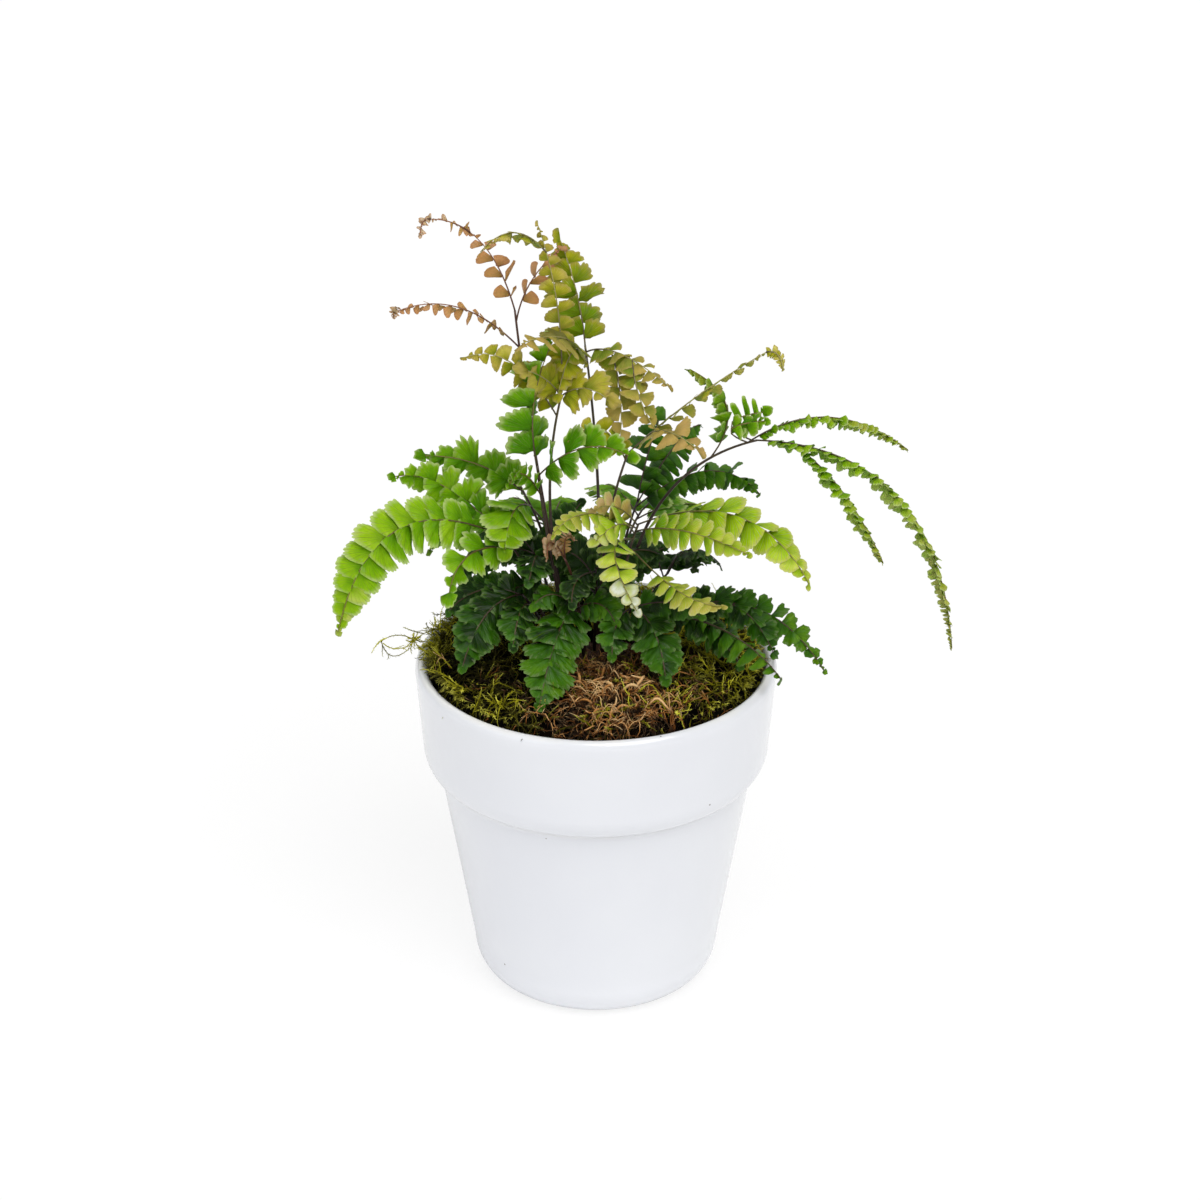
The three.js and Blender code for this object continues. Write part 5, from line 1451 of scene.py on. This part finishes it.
def leaf_material(name, stops, blush, edge, pale_edge_and_highlight, shiny, shine):
    """A leaflet's skin: its colour by its youth, which also holds painted shade, and blush, another one at
    its edge with a pale line at the outer end that is partly its own paler margin and partly a painted
    highlight, paler veins that fan out from its foot, a dark brown foot, painted shade over its inner part
    and on the side where the last leaflet laps over it, a duller underside, and light that shines through."""
    material, start, place = new_material(name)
    blade = start.node("ShaderNodeUVMap", {"uv_map": "blade"})
    ring = blade.part("Y")
    under = blade.part("X").step(0.99, 1.01)
    across = blade.part("X").math("FRACT")
    mottle = place.noise(260, 4, 0.6)
    grain = place.noise(1500, 2)

    youth = start.value("youth") + (mottle - 0.5) * 0.9
    youth = youth + (start.value("luck") - 0.5) * 0.4 + (ring - 0.6) * 0.35
    stops = [(share, paint(code)) for share, code in stops]
    tone = youth.node("ShaderNodeValToRGB", {"stops": stops}, {"Fac": youth / 1.2})
    rosy = (start.value("blush") + (mottle - 0.5) * 0.5).step(0.15, 1.05)
    tone = (rosy * 0.85).blend(tone, paint(blush))
    tone = (ring.step(0.72, 0.98) * 0.6).blend(tone, paint(edge))

    coarse, fine = (
        (across * (count * math.pi)).math("SINE").math("ABSOLUTE").step(0.3, 0.05) for count in VEINS
    )
    veins = coarse * 0.6 + fine * ring.step(0.45, 0.6) * 0.5
    tone = (veins * 0.35).blend(tone, stops[-1][1])
    # A pale line at the outer end: partly the margin's own paler colour, partly a painted highlight where
    # the edge catches the light.
    outer = (across * (1 - across)).step(0.1, 0.2) * 0.65 + 0.35
    tone = (ring.step(0.78, 1) * outer * pale_edge_and_highlight).blend(tone, paint("ecf0b4"))
    # Painted shade: darker over the inner part by the foot and on the side that the last leaflet laps
    # over.
    tone = (ring.step(0.75, 0.1) * 0.4 + across.step(0.34, 0.02) * 0.55).blend(tone, paint("1c4402"))
    tone = ring.step(0.14, 0.03).blend(tone, paint("3b2413"))
    tone = (under * 0.25).blend(tone, paint("a9b48a"))

    height = mottle * 0.6 + grain * 0.25 - veins * 0.5
    sockets = {
        "Base Color": tone,
        "Roughness": 0.28 + mottle * 0.2 + under * 0.2,
        "Specular IOR Level": shiny,
        "Normal": start.bump(height, 0.4),
    }
    skin(start, sockets, shine, share=0.3)
    return material


LEAF_MATERIALS = {
    "rosy_leaf": leaf_material(
        "rosy_leaflets", [(0, "a89c38"), (0.5, "d0b060"), (1, "f4deba")],
        blush="dca470", edge="b87848", pale_edge_and_highlight=0.1, shiny=0.1, shine="f0b068",
    ),
    "gold_leaf": leaf_material(
        "gold_leaflets", [(0, "6a960a"), (0.45, "c0c020"), (1, "f6ea88")],
        blush="d6ac76", edge="ac9044", pale_edge_and_highlight=0.15, shiny=0.1, shine="e0d818",
    ),
    "lime_leaf": leaf_material(
        "lime_leaflets", [(0, "7cb000"), (0.35, "b0d410"), (0.65, "dce858"), (1, "fafcf0")],
        blush="cc9c64", edge="c0b830", pale_edge_and_highlight=0.4, shiny=0.1, shine="dcec10",
    ),
    "green_leaf": leaf_material(
        "green_leaflets", [(0, "4c8c00"), (0.35, "78b000"), (0.7, "a4cc18"), (1, "d4d870")],
        blush="c09c44", edge="88b010", pale_edge_and_highlight=0.5, shiny=0.1, shine="b8e400",
    ),
    # Its darkest stop is painted shade, reached mostly by the low youth of the low and inner fronds.
    "deep_leaf": leaf_material(
        "deep_leaflets", [(0, "0a2400"), (0.15, "265200"), (0.4, "3e7600"), (1, "80b00c")],
        blush="7a6a2c", edge="3c7000", pale_edge_and_highlight=0.05, shiny=0.25, shine="60a400",
    ),
}


def make_leaflets(name, plan, pinnae, draw):
    growth = Growth()
    wanted = [(grown, i, side) for grown in pinnae for i in range(grown.count) for side in (1, -1)]
    wanted += [(grown, grown.count, 0) for grown in pinnae]
    for cell, (grown, i, side) in enumerate(wanted):
        make_leaflet(growth, grown, i, side, draw, cell, len(wanted))
    slot = plan["slot"]
    growth.piece(f"{name}_leaflets", LEAF_MATERIALS[slot], [f"frond_{name}"])


for number, (frond_name, frond_plan) in enumerate(FRONDS.items()):
    frond_draw = random.Random(FROND_SEED + number)
    frond_stalk, frond_pinnae = lay_out(frond_plan)
    make_stalks(frond_name, frond_plan, frond_stalk, frond_pinnae, frond_draw)
    make_leaflets(frond_name, frond_plan, frond_pinnae, frond_draw)


# The studio: a pale floor and a white room, with a broad soft light above the viewer's right
# shoulder, a weaker one at the left and one from behind that shines through the leaves.
FLOOR_RADIUS = 3000
FLOOR_SIDES = 64
FLOOR_DROP = 0.2  # the floor lies this much under the pot
ROOM_GLOW = 0.4  # against how bright the room looks
SHADOW_FILL = 0.8  # how much of the shadows on the floor the camera doesn't see
CAMERA_DISTANCE = 1300  # from the middle of the rim
CAMERA_RISE = math.radians(27.4)
CAMERA_LENS = 100.74
CAMERA_SENSOR = 36
PICTURE_SIDE = 1200
FOCAL_PIXELS = CAMERA_LENS / CAMERA_SENSOR * PICTURE_SIDE
RIM_PIXEL = (595.5, 657)  # where the middle of the rim shows


def soft_light(name, heading, strength, spread, tone):
    """Even light from far off in this direction, as soft as its spread in degrees."""
    lamp = bpy.data.lights.new(name, "SUN")
    lamp.energy = strength
    lamp.angle = math.radians(spread)
    lamp.color = paint(tone)[:3]
    made = bpy.data.objects.new(name, lamp)
    bpy.context.scene.collection.objects.link(made)
    made.rotation_euler = Vector(heading).to_track_quat("Z", "Y").to_euler()


soft_light("key_light", (0.3, -0.6, 0.9), strength=2.05, spread=45, tone="fffefc")
soft_light("left_light", (-0.8, -0.5, 0.6), strength=0.55, spread=60, tone="fcfdff")
soft_light("back_light", (-0.2, 0.8, 0.8), strength=0.5, spread=60, tone="ffffff")

world = bpy.data.worlds.new("white_room")
world.use_nodes = True
world.node_tree.nodes.clear()
room = Wire(world.node_tree)
seen = room.node("ShaderNodeLightPath", output="Is Camera Ray")
glow = seen * (1 - ROOM_GLOW) + ROOM_GLOW
sky = room.node("ShaderNodeBackground", sockets={"Color": paint("ffffff"), "Strength": glow})
world.node_tree.links.new(sky.socket, world.node_tree.nodes.new("ShaderNodeOutputWorld").inputs["Surface"])
bpy.context.scene.world = world
bpy.context.scene.view_settings.view_transform = "Standard"

floor_material, floor_start, floor_place = new_material("studio_floor")
floor_tone = floor_place.noise(6).blend(paint("fbfbfb"), paint("fefefe"))
matt = floor_start.node("ShaderNodeBsdfPrincipled", sockets={"Base Color": floor_tone, "Roughness": 0.8})
lit = floor_start.node("ShaderNodeEmission", sockets={"Color": paint("ffffff"), "Strength": 1.0})
looked_at = floor_start.node("ShaderNodeLightPath", output="Is Camera Ray")
show(
    floor_start,
    floor_start.node("ShaderNodeMixShader", sockets={0: looked_at * SHADOW_FILL, 1: matt, 2: lit}),
)
floor_mesh = bpy.data.meshes.new("studio_floor")
turns = np.linspace(0, 2 * math.pi, FLOOR_SIDES, endpoint=False)
floor_edge = [(FLOOR_RADIUS * math.cos(a), FLOOR_RADIUS * math.sin(a), -FLOOR_DROP) for a in turns]
floor_mesh.from_pydata(np.array(floor_edge) * MM, [], [tuple(range(FLOOR_SIDES))])
floor_mesh.materials.append(floor_material)
floor = bpy.data.objects.new("studio_floor", floor_mesh)
bpy.context.scene.collection.objects.link(floor)

camera = bpy.data.objects.new("camera", bpy.data.cameras.new("camera"))
bpy.context.scene.collection.objects.link(camera)
camera.data.lens = CAMERA_LENS
camera.data.sensor_width = CAMERA_SENSOR
back = Vector((0, -math.cos(CAMERA_RISE), math.sin(CAMERA_RISE)))
camera.location = (Vector((0, 0, RIM_HEIGHT)) + back * CAMERA_DISTANCE) * MM
pitch = math.atan((RIM_PIXEL[1] - PICTURE_SIDE / 2) / FOCAL_PIXELS)
yaw = math.atan((RIM_PIXEL[0] - PICTURE_SIDE / 2) / FOCAL_PIXELS)
camera.rotation_euler = (math.pi / 2 - CAMERA_RISE + pitch, 0, yaw)
bpy.context.scene.camera = camera
